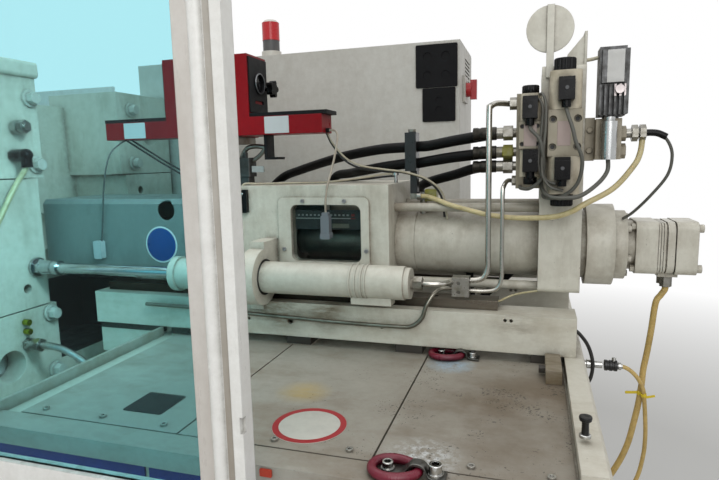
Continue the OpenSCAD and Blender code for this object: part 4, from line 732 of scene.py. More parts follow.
def dress(material, *names):
    """Gives CAD nodes one finish."""
    for name in names:
        slots = NODES[name].material_slots
        if not slots:
            NODES[name].data.materials.append(material)
        for slot in slots:
            slot.material = material


# Places that finishes, routes and trim share, in machine millimetres

DOSER_X = 460
TOWER_HALF = 118
HOUSING_X1 = 937
TRAVERSE_X1 = 1002
TRAVERSE_WIDTH = 72
TRAVERSE_Y = 200
TRAVERSE_Z = -63
DECK_Z = -223
BED_X1 = 1334
PLATE_X0 = 1255
PLATE_X1 = 1338
SIDE_X = 1356
LARGE_VALVE_X = 1298
LARGE_VALVE_Z = 238
SMALL_VALVE_X = 1234
SMALL_VALVE_Z = 236
VALVE_Y = -120
JUNCTION_X = 1082
TUBE_A_X = 1155
TUBE_B_X = 1183
TUBE_Y = -150
HOSE_END_X = 1165
MOTOR_X0 = 1450
PORT_X = MOTOR_X0 + 67
# crimped hose end: distance behind its tip, and lift over the hose
CRIMP = [
    (-50, 0), (-49, 2.2), (-40, 2.2), (-38, 1), (-34, 1), (-32, 2.2), (-22, 2.2), (-20, 1), (-16, 1),
    (-14, 2.2), (-1, 2.2), (0, 1),
]

# Routes of hoses, tubes and cables, in machine millimetres; a table gives each one's diameter first

HOSE_1 = [
    [500, 150, 20], [502, 150, 66], [512, 150, 112], [556, 148, 152], [625, 112, 172], [737, 50, 197],
    [801, 20, 209], [889, -16, 220], [956, -30, 223], [986, -31, 224], [1014, -40, 225], [1074, -56, 234],
    [HOSE_END_X, -70, 246],
]
HOSE_2 = [
    [684, 150, 20], [686, 150, 66], [694, 150, 112], [718, 148, 153], [777, 96, 162], [837, 30, 170],
    [887, -12, 177], [956, -30, 185], [986, -31, 186], [1014, -40, 190], [1074, -56, 198],
    [HOSE_END_X, -70, 206],
]
HOSE_3 = [
    [962, 150, 0], [962, 150, 50], [962, 128, 96], [968, 80, 124], [1005, 10, 141], [1070, -30, 158],
    [1120, -62, 172], [HOSE_END_X, -70, 176],
]
HOSE_4 = [
    [1196, 36, -69.5], [1190, 36, -84], [1156, 36, -114], [1126, 36, -146], [1108, 36, -148],
    [1100, 36, -128], [1098, 36, -96], [1098, 36, -69.5],
]
CREAM_ROUTE = [
    [SIDE_X + 88, -106, 222], [SIDE_X + 84, -112, 196], [SIDE_X + 72, -122, 172], [SIDE_X + 34, -152, 131],
    [PLATE_X1, -172, 102], [1312, -170, 86], [1282, -162, 76], [1238, -150, 72], [1202, -138, 71],
    [1178, -133, 73], [1151, -130, 76], [1130, -121, 80], [1088, -94, 88], [1060, -82, 95],
    [1042, -72, 101], [1026, -58, 105], [1008, -46, 109], [994, -42, 110],
]
DRAIN_ROUTE = [
    [PORT_X, -16, -86], [PORT_X - 1, -16, -94], [PORT_X - 8, -16, -106], [PORT_X - 17, -16, -124],
    [PORT_X - 23, -17, -184], [PORT_X - 29, -18, -234], [PORT_X - 35, -19, -275], [PORT_X - 37, -20, -308],
    [PORT_X - 42, -22, -353], [PORT_X - 50, -24, -399], [PORT_X - 60, -27, -446], [PORT_X - 76, -30, -490],
    [PORT_X - 100, -34, -534], [PORT_X - 130, -38, -568], [BED_X1 + 24, -42, -590],
    [BED_X1 + 1.1, -42, -590],
]
THIN_DRAIN_ROUTE = [
    [BED_X1 + 0.8, -10, -650], [BED_X1 + 24, -10, -650], [1400, -11, -636], [1446, -13, -596],
    [1478, -16, -540], [1490, -20, -480], [1492, -24, -430], [1489, -28, -380], [1484, -34, -335],
    [1480, -36, -312], [1470, -37, -291], [1457, -37, -276], [1445, -37, -268], [1434, -37, -265],
    [1426, -37, -265],
]
HANGING_ROUTE = [
    [774.5, -50, 268], [782, -50, 268], [789, -52, 266], [795, -57, 261], [799, -64, 252], [801, -73, 240],
    [802, -83, 226], [802, -93, 211], [802, -103, 196], [801, -113, 181], [801, -123, 167],
    [800, -134, 153], [800, -145, 138], [800, -154, 122], [800, -159, 106], [800, -160, 92],
    [800, -160, 82],
]
STEEL_ROUTES = {
    "pressure_tube_a": (12, [
        [JUNCTION_X + 36, -150, -62], [TUBE_A_X - 34, TUBE_Y, -62], [TUBE_A_X - 10, TUBE_Y, -56],
        [TUBE_A_X, TUBE_Y, -32], [TUBE_A_X, TUBE_Y, 0], [TUBE_A_X, TUBE_Y, 150], [TUBE_A_X, TUBE_Y, 285],
        [TUBE_A_X + 3, TUBE_Y + 4, 297], [TUBE_A_X + 14, TUBE_Y + 22, 304], [PLATE_X0 - 62, -104, 304],
    ]),
    "pressure_tube_b": (9, [
        [JUNCTION_X + 36, -150, -84], [TUBE_B_X - 34, TUBE_Y, -84], [TUBE_B_X - 10, TUBE_Y, -78],
        [TUBE_B_X, TUBE_Y, -54], [TUBE_B_X, TUBE_Y, 0], [TUBE_B_X, TUBE_Y, 116],
        [TUBE_B_X + 2, TUBE_Y + 8, 136], [TUBE_B_X + 8, TUBE_Y + 32, 146], [PLATE_X0 - 56, -104, 146],
    ]),
    "cylinder_tube": (12, [
        [TRAVERSE_X1 + 24, -200, -63], [1044, -200, -63], [1062, -195, -63], [1074, -178, -64],
        [JUNCTION_X, -162, -65],
    ]),
    "return_tube": (9, [
        [JUNCTION_X, -160, -78], [JUNCTION_X - 22, -163, -80], [1046, -180, -88], [1032, -190, -112],
        [1022, -192, -140], [1000, -193, -158], [966, -193, -161], [840, -193, -160], [700, -193, -156],
        [560, -193, -152], [430, -193, -147], [330, -193, -146],
    ]),
}
CABLE_ROUTES = {
    "plug_cable_right": (7, [
        [LARGE_VALVE_X, VALVE_Y - 84, LARGE_VALVE_Z + 46], [1302, -210, 268], [1310, -214, 244],
        [1316, -214, 220], [1327, -212, 193], [1328, -208, 168], [1322, -202, 144], [1310, -197, 128],
        [1292, -191, 117], [1274, -178, 114], [1264, -150, 114], [1262, VALVE_Y - 0.4, 116],
    ]),
    "plug_cable_left": (7, [
        [SMALL_VALVE_X, VALVE_Y - 71, SMALL_VALVE_Z + 18], [1238, -198, 244], [1252, -200, 228],
        [1258, -198, 204], [1261, -190, 172], [1255, -183, 149], [1236, -176, 133], [1219, -150, 132],
        [1216, VALVE_Y + 3.6, 134],
    ]),
    "amplifier_cable": (8, [
        [SIDE_X + 22, -157, 186], [SIDE_X + 21, -160, 164], [1360, -178, 142], [1328, -211, 121],
        [1300, -215, 117], [1273, -207, 119], [1259, -172, 133], [1258, VALVE_Y - 0.4, 150],
    ]),
    "pick_up_cable": (6, [
        [SIDE_X + 94, -106, 236], [SIDE_X + 120, -106, 232], [1492, -104, 214], [1499, -100, 188],
        [1493, -95, 152], [1466, -82, 110], [1440, -60, 76], [1423, -48.5, 61.7],
    ]),
}

THIN_ROUTES = {
    "pick_up_sleeve": (13, [
        [SIDE_X + 93, -106, 236], [SIDE_X + 104, -106, 236], [SIDE_X + 116, -106, 234],
        [SIDE_X + 130, -106, 227],
    ]),
    "plate_lead": (7, [
        [1334, -106, 380], [1346, -108, 381], [1360, -112, 383],
    ]),
    "signal_cable_dark": (5, [
        [757, -24, 264], [761, -22, 252], [771, -20, 233], [801, -20, 196], [844, -24, 176],
        [902, -28, 168], [936, -34, 166.5], [958, -52, 164], [982, -56, 159], [1006, -54, 148],
        [1028, -50, 130], [1042, -46, 106], [1048, -42, 62],
    ]),
    "signal_cable_cream": (4.5, [
        [762, -30, 264], [767, -28, 250], [777, -26, 233], [806, -26, 201], [847, -30, 182],
        [903, -34, 173], [937, -40, 169], [960, -59, 166], [984, -63, 160], [1008, -61, 151],
        [1033, -57, 133], [1048, -52, 109], [1055, -47, 57],
    ]),
    "roof_cable": (5, [
        [560, -112, 40], [563, -114, 110], [568, -114, 138], [580, -112, 145.5], [607, -100, 144.5],
        [680, -60, 144], [760, -42, 144.5], [850, -30, 154], [902, -26, 161.5], [936, -30, 162],
    ]),
    "roof_cable_dark": (5, [
        [554, -108, 40], [557, -110, 110], [564, -110, 139], [580, -106, 145.5], [612, -90, 144.5],
        [690, -46, 144], [770, -30, 145], [850, -22, 150], [900, -20, 155], [926, -22, 157],
    ]),
    "cover_cable": (4, [
        [200, -60, 263], [196, -86, 250], [190, -112, 228], [184, -126, 190], [172, -128, 132],
        [163, -128, 66], [153, -128, 2], [150, -128, -6],
    ]),
    "platen_hose": (13, [
        [44, -236, 206], [40, -240, 190], [30, -258, 158], [24, -280, 120], [20, -300, 84], [17, -318, 52],
        [14, -330, 24], [8, -334, 8], [-1, -334, 4],
    ]),
    "grease_line": (4.5, [
        [1174, -118, -113], [1180, -112, -112], [1190, -104, -108], [1207, -100, -101], [1228, -100, -95],
        [1246, -100, -91.5], [1262, -100, -88], [1268, -100, -84],
    ]),
    "rim_loop": (8, [
        [1322, -62, -160], [1334, -60, -180], [1347, -58, -193], [1362, -54, -214], [1372, -50, -240],
        [1376, -48, -268], [1370, -48, -300], [1352, -48, -318], [1332, -48, -322],
    ]),
}
# the two leads beside the smaller valve, and the two bent arms of the throat's lever
BUNDLE_ROUTES = [
    (5.5, [
        [1249, -160, 312], [1256, -188, 312], [1262, -194, 295], [1263, -196, 265], [1262, -196, 236],
        [1259, -196, 206], [1257, -196, 180], [1261, -196, 155], [1275, -196, 136], [1297, -199, 130],
    ]),
    (5.5, [
        [1247, -160, 302], [1251, -184, 302], [1257, -190, 285], [1256, -190, 253], [1253, -190, 216],
        [1251, -190, 187], [1256, -190, 162], [1270, -190, 147], [1284, -196, 142],
    ]),
]
LEVER_ROUTES = [
    (12, [
        [523, -30, 200], [530, -30, 218], [541, -30, 231], [556, -30, 236], [575, -30, 236],
        [592, -30, 233],
    ]),
    (11, [
        [548, -30, 196], [560, -30, 202], [574, -30, 211], [586, -30, 222], [596, -30, 238],
        [602, -30, 264],
    ]),
]

# Places of the small trim, in machine millimetres

LABEL_Z = 284.5
COVER_DISC = (332, -120, -8)
SIGHT_PLACE = (-26, 390)
SCALE_Y = -104
SCALE_Z = 70
SCALE_LINE_Z = 62.3
SCALE_END_X = 846
SCALE_STEP = 10.2
SCALE_MARKS = 15
DECK_DISC = (909, -548)
KNOB_PLACE = (1320, -532)
SWITCH_X = 581.5
LEAD_GAP = 12
COUPLING_Y = -37
COUPLING_Z = -265
RING_X = 1074
BOLT_X = (1063, 1128)

# Camera: solved from straight edges of the machine for a frame of 719 by 480 pixels
FRAME_WIDE = 719
FOCAL_PIXELS = 560
EYE = (1.597, -1.307, 1.444)
EYE_RIGHT = (0.95483, 0.29634, -0.02194)
EYE_UP = (-0.02072, 0.14006, 0.98992)
EYE_BACK = (0.29643, -0.94476, 0.13987)


class MACHINE_OT_camera(bpy.types.Operator):
    """Makes the camera at the photograph's place and angle"""
    bl_idname = "machine.camera"
    bl_label = "Camera"

    def execute(self, context):
        data = bpy.data.cameras.new("Camera")
        data.sensor_width = 36
        data.lens = data.sensor_width * FOCAL_PIXELS / FRAME_WIDE
        data.clip_start = 0.05
        camera = bpy.data.objects.new("Camera", data)
        turn = Matrix((EYE_RIGHT, EYE_UP, EYE_BACK)).transposed().to_4x4()
        camera.matrix_world = Matrix.Translation(EYE) @ turn
        context.scene.collection.objects.link(camera)
        context.scene.camera = camera
        return {"FINISHED"}


class MACHINE_OT_hanging_cable(bpy.types.Operator):
    """Makes the free cable of the hanging connector"""
    bl_idname = "machine.hanging_cable"
    bl_label = "Hanging cable"

    def execute(self, context):
        width = sizes().hanging_cable
        path = smooth_path(route(HANGING_ROUTE), 6)
        # PVC sheathed signal cable, cream, pliable
        jacket = pvc_hose("Soiled cream cable sheath", linear("#a89f90"), linear("#7d7362"), 0.05, 0.4)
        cable = tube("hanging_cable_sheath", path, width, jacket, "carriage", 14)
        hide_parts("hanging_cable")
        return {"FINISHED"}


class MACHINE_OT_stage(bpy.types.Operator):
    """Makes the floor, the lamps and the world"""
    bl_idname = "machine.stage"
    bl_label = "Stage"

    def execute(self, context):
        self.floor(context)
        self.world(context)
        self.lamp(context, "Ceiling lamp", (0.6, -0.6, 4.3), (0.9, 0.1, 1.2), 4.0, 47)
        self.lamp(context, "Front lamp", (2.1, -2.7, 2.4), (1.2, 0.0, 1.2), 1.8, 26)
        # daylight that falls on the mould side through the open end of the guard
        self.lamp(context, "Side lamp", (1.3, -0.6, 1.9), (0.33, -0.3, 1.3), 0.3, 2.1, 70)
        return {"FINISHED"}

    def floor(self, context):
        """Flat floor, wide enough to reach the horizon, with the machine's shadow on it."""
        half = 40.0
        mesh = bpy.data.meshes.new("floor")
        mesh.from_pydata([(-half, -half, 0), (half, -half, 0), (half, half, 0), (-half, half, 0)], [],
                         [(0, 1, 2, 3)])
        floor = bpy.data.objects.new("floor", mesh)
        context.scene.collection.objects.link(floor)
        material = bpy.data.materials.new("Pale floor")
        material.use_nodes = True
        tree = material.node_tree
        tree.nodes.clear()
        matte = add(tree, "BsdfDiffuse", {"Color": (*linear("#d9d9d6"), 1)})
        white = add(tree, "Emission", {"Color": (1, 1, 1, 1), "Strength": 1.0})
        # the floor fades into the white backdrop a few metres from the machine
        gap = add(tree, "VectorMath", {0: coords(tree), 1: (0.8, 0.2, 0)},
                  operation="DISTANCE").outputs["Value"]
        fade = add(tree, "MapRange", (gap, 2.2, 5.5))
        eye = add(tree, "LightPath").outputs["Is Camera Ray"]
        shown = add(tree, "Math", (fade, eye), operation="MULTIPLY")
        both = add(tree, "MixShader", {0: shown, 1: matte, 2: white})
        add(tree, "OutputMaterial", {"Surface": both})
        mesh.materials.append(material)

    def world(self, context):
        """Soft even light, and a white backdrop for the eye, for gloss and through glass."""
        world = bpy.data.worlds.new("World")
        context.scene.world = world
        world.use_nodes = True
        tree = world.node_tree
        tree.nodes.clear()
        rays = add(tree, "LightPath").outputs
        seen = add(tree, "Math", (rays["Is Glossy Ray"], rays["Is Transmission Ray"]), operation="MAXIMUM")
        seen = add(tree, "Math", (rays["Is Camera Ray"], seen), operation="MAXIMUM")
        strength = add(tree, "MapRange", (seen, 0.0, 1.0, 0.52, 1.0))
        back = add(tree, "Background", {"Color": (1, 1, 1, 1), "Strength": strength})
        add(tree, "OutputWorld", {"Surface": back})

    def lamp(self, context, name, place, target, width, power, spread=180):
        """Square soft lamp turned to a target, its beam held to a spread in degrees."""
        data = bpy.data.lights.new(name, "AREA")
        data.shape = "SQUARE"
        data.size = width
        data.energy = power
        data.spread = math.radians(spread)
        lamp = bpy.data.objects.new(name, data)
        lamp.location = place
        lamp.rotation_euler = (Vector(target) - Vector(place)).to_track_quat("-Z", "Y").to_euler()
        context.scene.collection.objects.link(lamp)


class MACHINE_OT_finishes(bpy.types.Operator):
    """Gives every node of the construction its finish"""
    bl_idname = "machine.finishes"
    bl_label = "Finishes"

    def execute(self, context):
        hue = colours()
        paint = tuple(hue.paint)
        soil = tuple(hue.paint_soil)
        # two-pack enamel on iron castings: satin, clouded and oily
        casting = enamel("Oily cream enamel on castings", paint, soil, 0.42)
        dress(enamel("Oily cream enamel with painted shade on the housing", paint, soil, 0.42, over=housing_room),
              "injection_housing")
        dress(enamel("Brown-filmed cream enamel on the cylinder", paint, soil, 0.5, over=cylinder_soil_and_shade),
              "injection_cylinder")
        dress(casting, "end_plate", "motor_drum", "screw_motor",
              "moving_platen", "end_platen", "clamp_cylinder")
        # the same enamel, wiped clean by hand
        clean = enamel("Clean cream enamel", paint, soil, 0.18, 0.36, specks=0.25)
        dress(clean, "traverse_cylinders", "indicator_disc")
        dress(enamel("Clean cream enamel with screws", paint, soil, 0.18, 0.36, specks=0.25,
                     over=frame_screws), "window_frame")
        # enamel on sheet steel: whiter and cleaner, with painted shade in the post's groove and greyer along
        # its inner edge
        dress(enamel("White guard enamel", tuple(hue.guard), linear("#a8a397"), 0.15, 0.34, specks=0.1,
                     over=post_shade_and_edge), "guard_frame", "guard_door")
        # the bed's enamel: browner, with oil run down the beams and painted shade in the gap under them
        stained_and_shaded = enamel("Stained cream enamel with painted shade on the beams", paint, linear("#8d7d5e"), 0.4, 0.45,
                       (0.3, 1, 1), over=beam_stains_and_shade)
        dress(stained_and_shaded, "slide_beams", "end_rim")
        # the bed and the platen carry the painted shadow of the bed's well
        dress(enamel("Cream enamel on the welded bed", paint, linear("#9c917b"), 0.3, 0.45, over=bed_well_shadow),
              "bed_frame")
        dress(enamel("Oily cream enamel with painted shadow on the platen", paint, soil, 0.42, over=bed_well_shadow), "fixed_platen")
        # powder coat: even, matt and nearly clean
        cabinet = enamel("Cabinet powder coat", tuple(hue.cabinet), soil, 0.12, 0.5, specks=0.1)
        dress(cabinet, "cabinet", "cabinet_door_left", "cabinet_door_right")
        # enamel on panels: deep blue and satin
        dress(enamel("Ultramarine bed enamel", tuple(hue.blue), linear("#10163f"), 0.35, 0.35, specks=0.1),
              "bed_panels")
        dress(deck_enamel(), "deck_plates")
        # enamel on sheet steel: grey-green and satin
        sheet = enamel("Grey-green cover enamel", tuple(hue.sheet), linear("#4e5450"), 0.45, 0.4)
        dress(sheet, "barrel_cover")
        # powder coat: deep red with little shine
        dress(enamel("Red powder coat", tuple(hue.red), linear("#4c0a11"), 0.2, 0.34, specks=0.05,
                     gloss=0.2), "doser_base")
        # hard chrome on ground rods
        chrome = metal("Hard chrome", linear("#c3c6c8"), 0.1, (0.05, 1, 1), 220, linear("#7d7c76"), 0.3)
        dress(chrome, "tie_bars", "traverse_rods")
        # blued or zinc-plated steel
        zinc = metal("Zinc-plated steel", linear("#b3b3af"), 0.32, stain=linear("#6a6152"),
                     stain_amount=0.4)
        dress(zinc, "levelling_feet", "ejector_plate")
        # oily steel, lightened as painted light to make up for the dim room in the housing
        dress(metal("Oily coupling lightened as painted light", linear("#8a877f"), 0.5, stain=linear("#4a4842"),
                    stain_amount=0.5), "screw_coupling")
        dress(metal("Zinc-plated pipework", linear("#b3b3af"), 0.32, stain=linear("#6a6152"),
                    stain_amount=0.4, over=pipework_parts), "platen_pipework")
        # zinc and passivated zinc: pale, dulled by dirt
        pale = metal("Bright zinc on bolts", linear("#d4d3cd"), 0.28, stain=linear("#8b8475"),
                     stain_amount=0.35)
        dress(pale, "deck_screws")
        dress(enamel("Pale passivated bolts", linear("#c4c3bb"), soil, 0.25, 0.3, specks=0.1, reach=0.008),
              "platen_bolts")
        # steel tinted by heat: brown and dull in patches
        steel = metal("Heat-tinted steel", linear("#8d8780"), 0.38, stain=linear("#5c4a38"),
                      stain_amount=0.7)
        dress(steel, "barrel", "nozzle", "screw")
        # stainless sheet: pale, with a fine grain round the barrel
        dress(metal("Ribbed stainless heater sheet", linear("#a8a49c"), 0.3, (1, 0.1, 0.1), 90),
              "heater_bands")
        dress(rail_finish(), "guide_rails")
        dress(fittings(), "tube_fittings")
        # coat on cast iron: beige and matt, soiled in its corners
        dress(enamel("Beige valve coat", tuple(hue.cast), linear("#6b6149"), 0.35, 0.5, reach=0.015),
              "valve_blocks")
        dress(enamel("Beige valve coat with screws", tuple(hue.cast), linear("#6b6149"), 0.35, 0.5,
                     reach=0.015, over=valve_screws), "valve_bodies")
        dress(solenoid_finish(), "solenoids")
        dress(amplifier_finish(), "valve_amplifier")
        # glass-filled nylon and ABS
        dress(moulded("Glossy black nylon", linear("#050506"), 0.26, 0.1, over=plug_screws, gloss=0.15),
              "valve_plugs", "doser_knob_left", "doser_knob_right")
        dress(moulded("Black textured sheet", linear("#0e0e10"), 0.5, 0.15, gloss=0.2), "doser_plates")
        dress(moulded("Matt black fan panel", linear("#0b0b0d"), 0.6, 0.1, gloss=0.15), "fan_panels")
        dress(beacon_finish(), "beacon_base")
        dress(moulded("Red polycarbonate lens", linear("#c3121b"), 0.2, 0.1), "beacon_lens")
        dress(moulded("Red ABS handle", linear("#a5151a"), 0.3, 0.15), "switch_handle")
        # polycarbonate sheet: see-through, with faint wipe marks
        dress(clear_sheet("Tinted polycarbonate", tuple(hue.tint)), "guard_window")
        dress(clear_sheet("Clear polycarbonate", linear("#dfe6e4")), "window_pane")
        # moulded connector: smoky grey and smooth
        dress(moulded("Smoky clear connector", linear("#747a80"), 0.18, 0.2), "hanging_connector")
        return {"FINISHED"}


class MACHINE_OT_hoses(bpy.types.Operator):
    """Makes the hydraulic hoses, the steel tubes and the drain hoses"""
    bl_idname = "machine.hoses"
    bl_label = "Hoses and tubes"

    def execute(self, context):
        self.black_hoses()
        self.steel_tubes()
        self.soft_hoses()
        return {"FINISHED"}

    def black_hoses(self):
        """Three wrapped hoses, each crimped into a sleeve at the manifold, and the loop under the plate."""
        rubber = rubber_hose()
        # crimped steel: dark with oil
        crimp = metal("Oily crimped sleeve", linear("#3f3d39"), 0.4, stain=linear("#1f1c17"),
                      stain_amount=0.6)
        runs = [("black_hose_1", HOSE_1, sizes().pressure_hose),
                ("black_hose_2", HOSE_2, sizes().pressure_hose),
                ("black_hose_3", HOSE_3, sizes().short_hose), ("black_hose_4", HOSE_4, sizes().loop_hose)]
        for name, points, width in runs:
            hose = tube(name, smooth_path(route(points)), width, rubber, "carriage", 28)
            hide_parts("black_hoses")
            if name == "black_hose_4":
                continue
            tip = route(points)[-1]
            sleeve = [(back / 1000, width / 2 + lift / 1000) for back, lift in CRIMP]
            points, faces = turned(sleeve, tip, (1, 0, 0.02))
            make_piece(name + "_sleeve", points, faces, crimp, "carriage")

    def steel_tubes(self):
        """Cold-drawn precision tubes, bent round the end plate."""
        # cold-drawn steel: bright, with a fine grain along the tube
        bright = metal("Drawn precision tube", linear("#cbc9c2"), 0.2, (1, 1, 0.05), 160, linear("#857c66"),
                       0.4)
        # the same steel under oil: darker and duller
        dull = metal("Oily precision tube", linear("#8b887d"), 0.34, (0.05, 1, 1), 160, linear("#4c4638"),
                     0.6)
        for name, (width, points) in STEEL_ROUTES.items():
            look = dull if name == "return_tube" else bright
            pipe = tube(name, smooth_path(route(points)), width / 1000, look, "carriage", 24)
            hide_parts("steel_tubes")

    def soft_hoses(self):
        """Cream hose over the end plate, the drain hose from the motor's port down to the bed, and the thin
        one.
        """
        hue = colours()
        # soft PVC: cream gone yellow
        cream = pvc_hose("Yellowed cream PVC hose", tuple(hue.cream_hose), linear("#9a8a55"))
        hose = tube("cream_hose_run", smooth_path(route(CREAM_ROUTE)), sizes().cream_hose, cream,
                    "carriage", 20)
        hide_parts("cream_hose")
        # soft PVC: mustard, lit a little way into its wall
        mustard = pvc_hose("Mustard PVC drain hose", tuple(hue.mustard), linear("#8c7137"))
        path = smooth_path(route(DRAIN_ROUTE))
        points, faces, uv = swept(path, sizes().drain_hose / 2, 20)
        drain = make_piece("drain_hose", points, faces, mustard, None, uv)
        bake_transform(drain)
        thin = tube("thin_drain_hose", smooth_path(route(THIN_DRAIN_ROUTE)), sizes().thin_drain, mustard,
                    "bed", 20)
        for hose in (drain, thin):
            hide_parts("mustard_hoses")


class MACHINE_OT_cables(bpy.types.Operator):
    """Makes the four cables of the valves, the amplifier and the pick-up"""
    bl_idname = "machine.cables"
    bl_label = "Cables"

    def execute(self, context):
        # PVC sheathed control cable
        grey = moulded("Grey PVC cable", linear("#56564f"), 0.5, 0.35)
        for name, (width, points) in CABLE_ROUTES.items():
            cable = tube(name, smooth_path(route(points)), width / 1000, grey, "carriage", 16)
            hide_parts("cables")
        return {"FINISHED"}


def sign(x, z, y, width, height, depth, corner=1.5):
    """Plate that looks at the operator, in machine millimetres: its middle x and z, and the y of its back."""
    return slab(at(x, y, z), ALONG, UPWARD, width / 1000, height / 1000, depth / 1000, corner / 1000,
                0.0002)


def floor_sign(x, y, z, width, height, depth, corner):
    """Plate that lies flat, in machine millimetres: its middle x and y, and the z of its underside."""
    return slab(at(x, y, z), ALONG, INWARD, width / 1000, height / 1000, depth / 1000, corner / 1000,
                0.0002, 24)


def pin(profile, x, y, z, axis, sides=32):
    """Turned part in machine millimetres: rows of distance and diameter from a point along an axis."""
    rows = np.asarray(profile, float) / [1000, 2000]
    return turned(rows, at(x, y, z), axis, sides)


def bar(x0, y0, z0, x1, y1, z1, corner=2.0):
    """Upright block with rounded corners between two machine points."""
    return slab(at((x0 + x1) / 2, (y0 + y1) / 2, z0), ALONG, INWARD, (x1 - x0) / 1000, (y1 - y0) / 1000,
                (z1 - z0) / 1000, corner / 1000, 0.0006)


def fluted(x, y, z, diameter, height, ribs):
    """Ribbed grip round an upright knob: full radius on each rib, 0.94 of it between, four points a rib."""
    step = np.tile([1.0, 1.0, 0.94, 0.94], ribs)
    turn = 2 * np.pi * np.arange(4 * ribs) / (4 * ribs)
    ring = np.stack([np.cos(turn) * step, np.sin(turn) * step, 0 * turn],
                    axis=1) * (diameter / 2000 + 0.0012)
    layers = [(0, 0.96), (0.8, 1.0), (height - 0.8, 1.0), (height, 0.96)]
    rows = [at(x, y, z + rise) + ring * size for rise, size in layers]
    count = 4 * ribs
    faces = [*grid_faces(4, count, True), np.arange(count)[::-1], np.arange(count) + 3 * count]
    return np.vstack(rows), faces


def open_ring(profile, x, y, z, axis, sides=32):
    """Turned ring, open at its back: the profile runs from its outer edge over to its inner one."""
    points, faces = pin(profile, x, y, z, axis, sides)
    return points, faces[:-2]


def run(points, diameter, sides=14):
    """Swept part along machine points, its diameter in millimetres."""
    return swept(smooth_path(route(points), 6), diameter / 2000, sides)[:2]


def part(name, parts, material, body):
    """One piece made of several parts."""
    points, faces = merged(parts)
    return make_piece(name, points, faces, material, body)


def thin_line(name, material, body):
    """One of the thin cords, from its route."""
    width, points = THIN_ROUTES[name]
    return part(name, [run(points, width)], material, body)


class MACHINE_OT_fields(bpy.types.Operator):
    """Makes the bare fields where the machine carries labels"""
    bl_idname = "machine.fields"
    bl_label = "Bare fields"

    def execute(self, context):
        # printed label film: smooth and pale under a little dust
        pale = moulded("Bare pale label film", linear("#c6c9ca"), 0.35, 0.15)
        part("doser_fields", [sign(650.5, LABEL_Z, -80, 64, 40, 0.7), sign(244, LABEL_Z, -80, 66, 40, 0.7)],
             pale, "carriage")
        # label film faded to a dull, dusty rose
        rose = moulded("Faded rose label film", linear("#a3918a"), 0.4, 0.4)
        part("valve_fields", [sign(1296, 237, -188, 24, 46, 0.5), sign(1235, 236, -182, 24, 42, 0.5)], rose,
             "carriage")
        # white vinyl: plain and satin
        white = moulded("White disc edge", linear("#cfd4d4"))
        part("cover_field_edge", [pin([(0, 94), (0.6, 94), (0.7, 93)], *COVER_DISC, FORWARD, 64)], white,
             "carriage")
        # blue vinyl: deep and even
        blue = moulded("Plain blue film", linear("#083f80"), 0.35)
        part("cover_field", [pin([(0, 86), (1.0, 86), (1.1, 85)], *COVER_DISC, FORWARD, 64)], blue,
             "carriage")
        return {"FINISHED"}


class MACHINE_OT_sight_glass(bpy.types.Operator):
    """Makes the grey ring and dark glass in the port of the doser's right cheek"""
    bl_idname = "machine.sight_glass"
    bl_label = "Sight glass"

    def execute(self, context):
        side = DOSER_X + TOWER_HALF
        # anodised ring: grey and satin
        grey = metal("Grey sight glass ring", linear("#8d8f92"), 0.3)
        ring = open_ring([(0, 51), (1.4, 50), (1.4, 45), (0, 44.5)], side + 7, *SIGHT_PLACE, ALONG, 48)
        part("sight_ring", [ring], grey, "carriage")
        # glass over a dark port: black and glossy
        dark = moulded("Dark sight glass", linear("#101114"), 0.15, 0.1)
        part("sight_glass", [pin([(0, 43.8), (1.5, 43.8), (1.6, 43)], side, *SIGHT_PLACE, ALONG, 48)], dark,
             "carriage")
        return {"FINISHED"}


class MACHINE_OT_window_scale(bpy.types.Operator):
    """Makes the dark strip with white marks behind the housing's window"""
    bl_idname = "machine.window_scale"
    bl_label = "Window scale"

    def execute(self, context):
        # coated strip: dark grey and matt
        black = moulded("Black strip", linear("#303334"), 0.5)
        part("scale_strip", [sign(788, 59, -101, 196, 46, 3)], black, "carriage")
        marks = [sign(690.5 + SCALE_STEP * i, SCALE_Z, SCALE_Y, 5, 4, 0.4, 0.5) for i in range(SCALE_MARKS)]
        marks += [sign(765, SCALE_LINE_Z, SCALE_Y, 150, 2.2, 0.4, 0.5)]
        # printed ink: a greyed white, matt
        part("scale_marks", marks, moulded("White ink", linear("#aeb2b0"), 0.5), "carriage")
        # printed ink: dull red
        red = moulded("Red ink", linear("#8e1f1f"), 0.5)
        ends = [sign(SCALE_END_X, SCALE_Z, SCALE_Y, 8, 6, 0.4, 0.5),
                sign(SCALE_END_X, SCALE_LINE_Z, SCALE_Y, 12, 2.4, 0.4, 0.5)]
        part("scale_end", ends, red, "carriage")
        # painted pointer: grey-green and matt
        olive = moulded("Grey-green pointer", linear("#6d7063"), 0.5)
        part("scale_pointer", [sign(815.5, 45, SCALE_Y, 41, 10, 0.8, 0.5)], olive, "carriage")
        return {"FINISHED"}


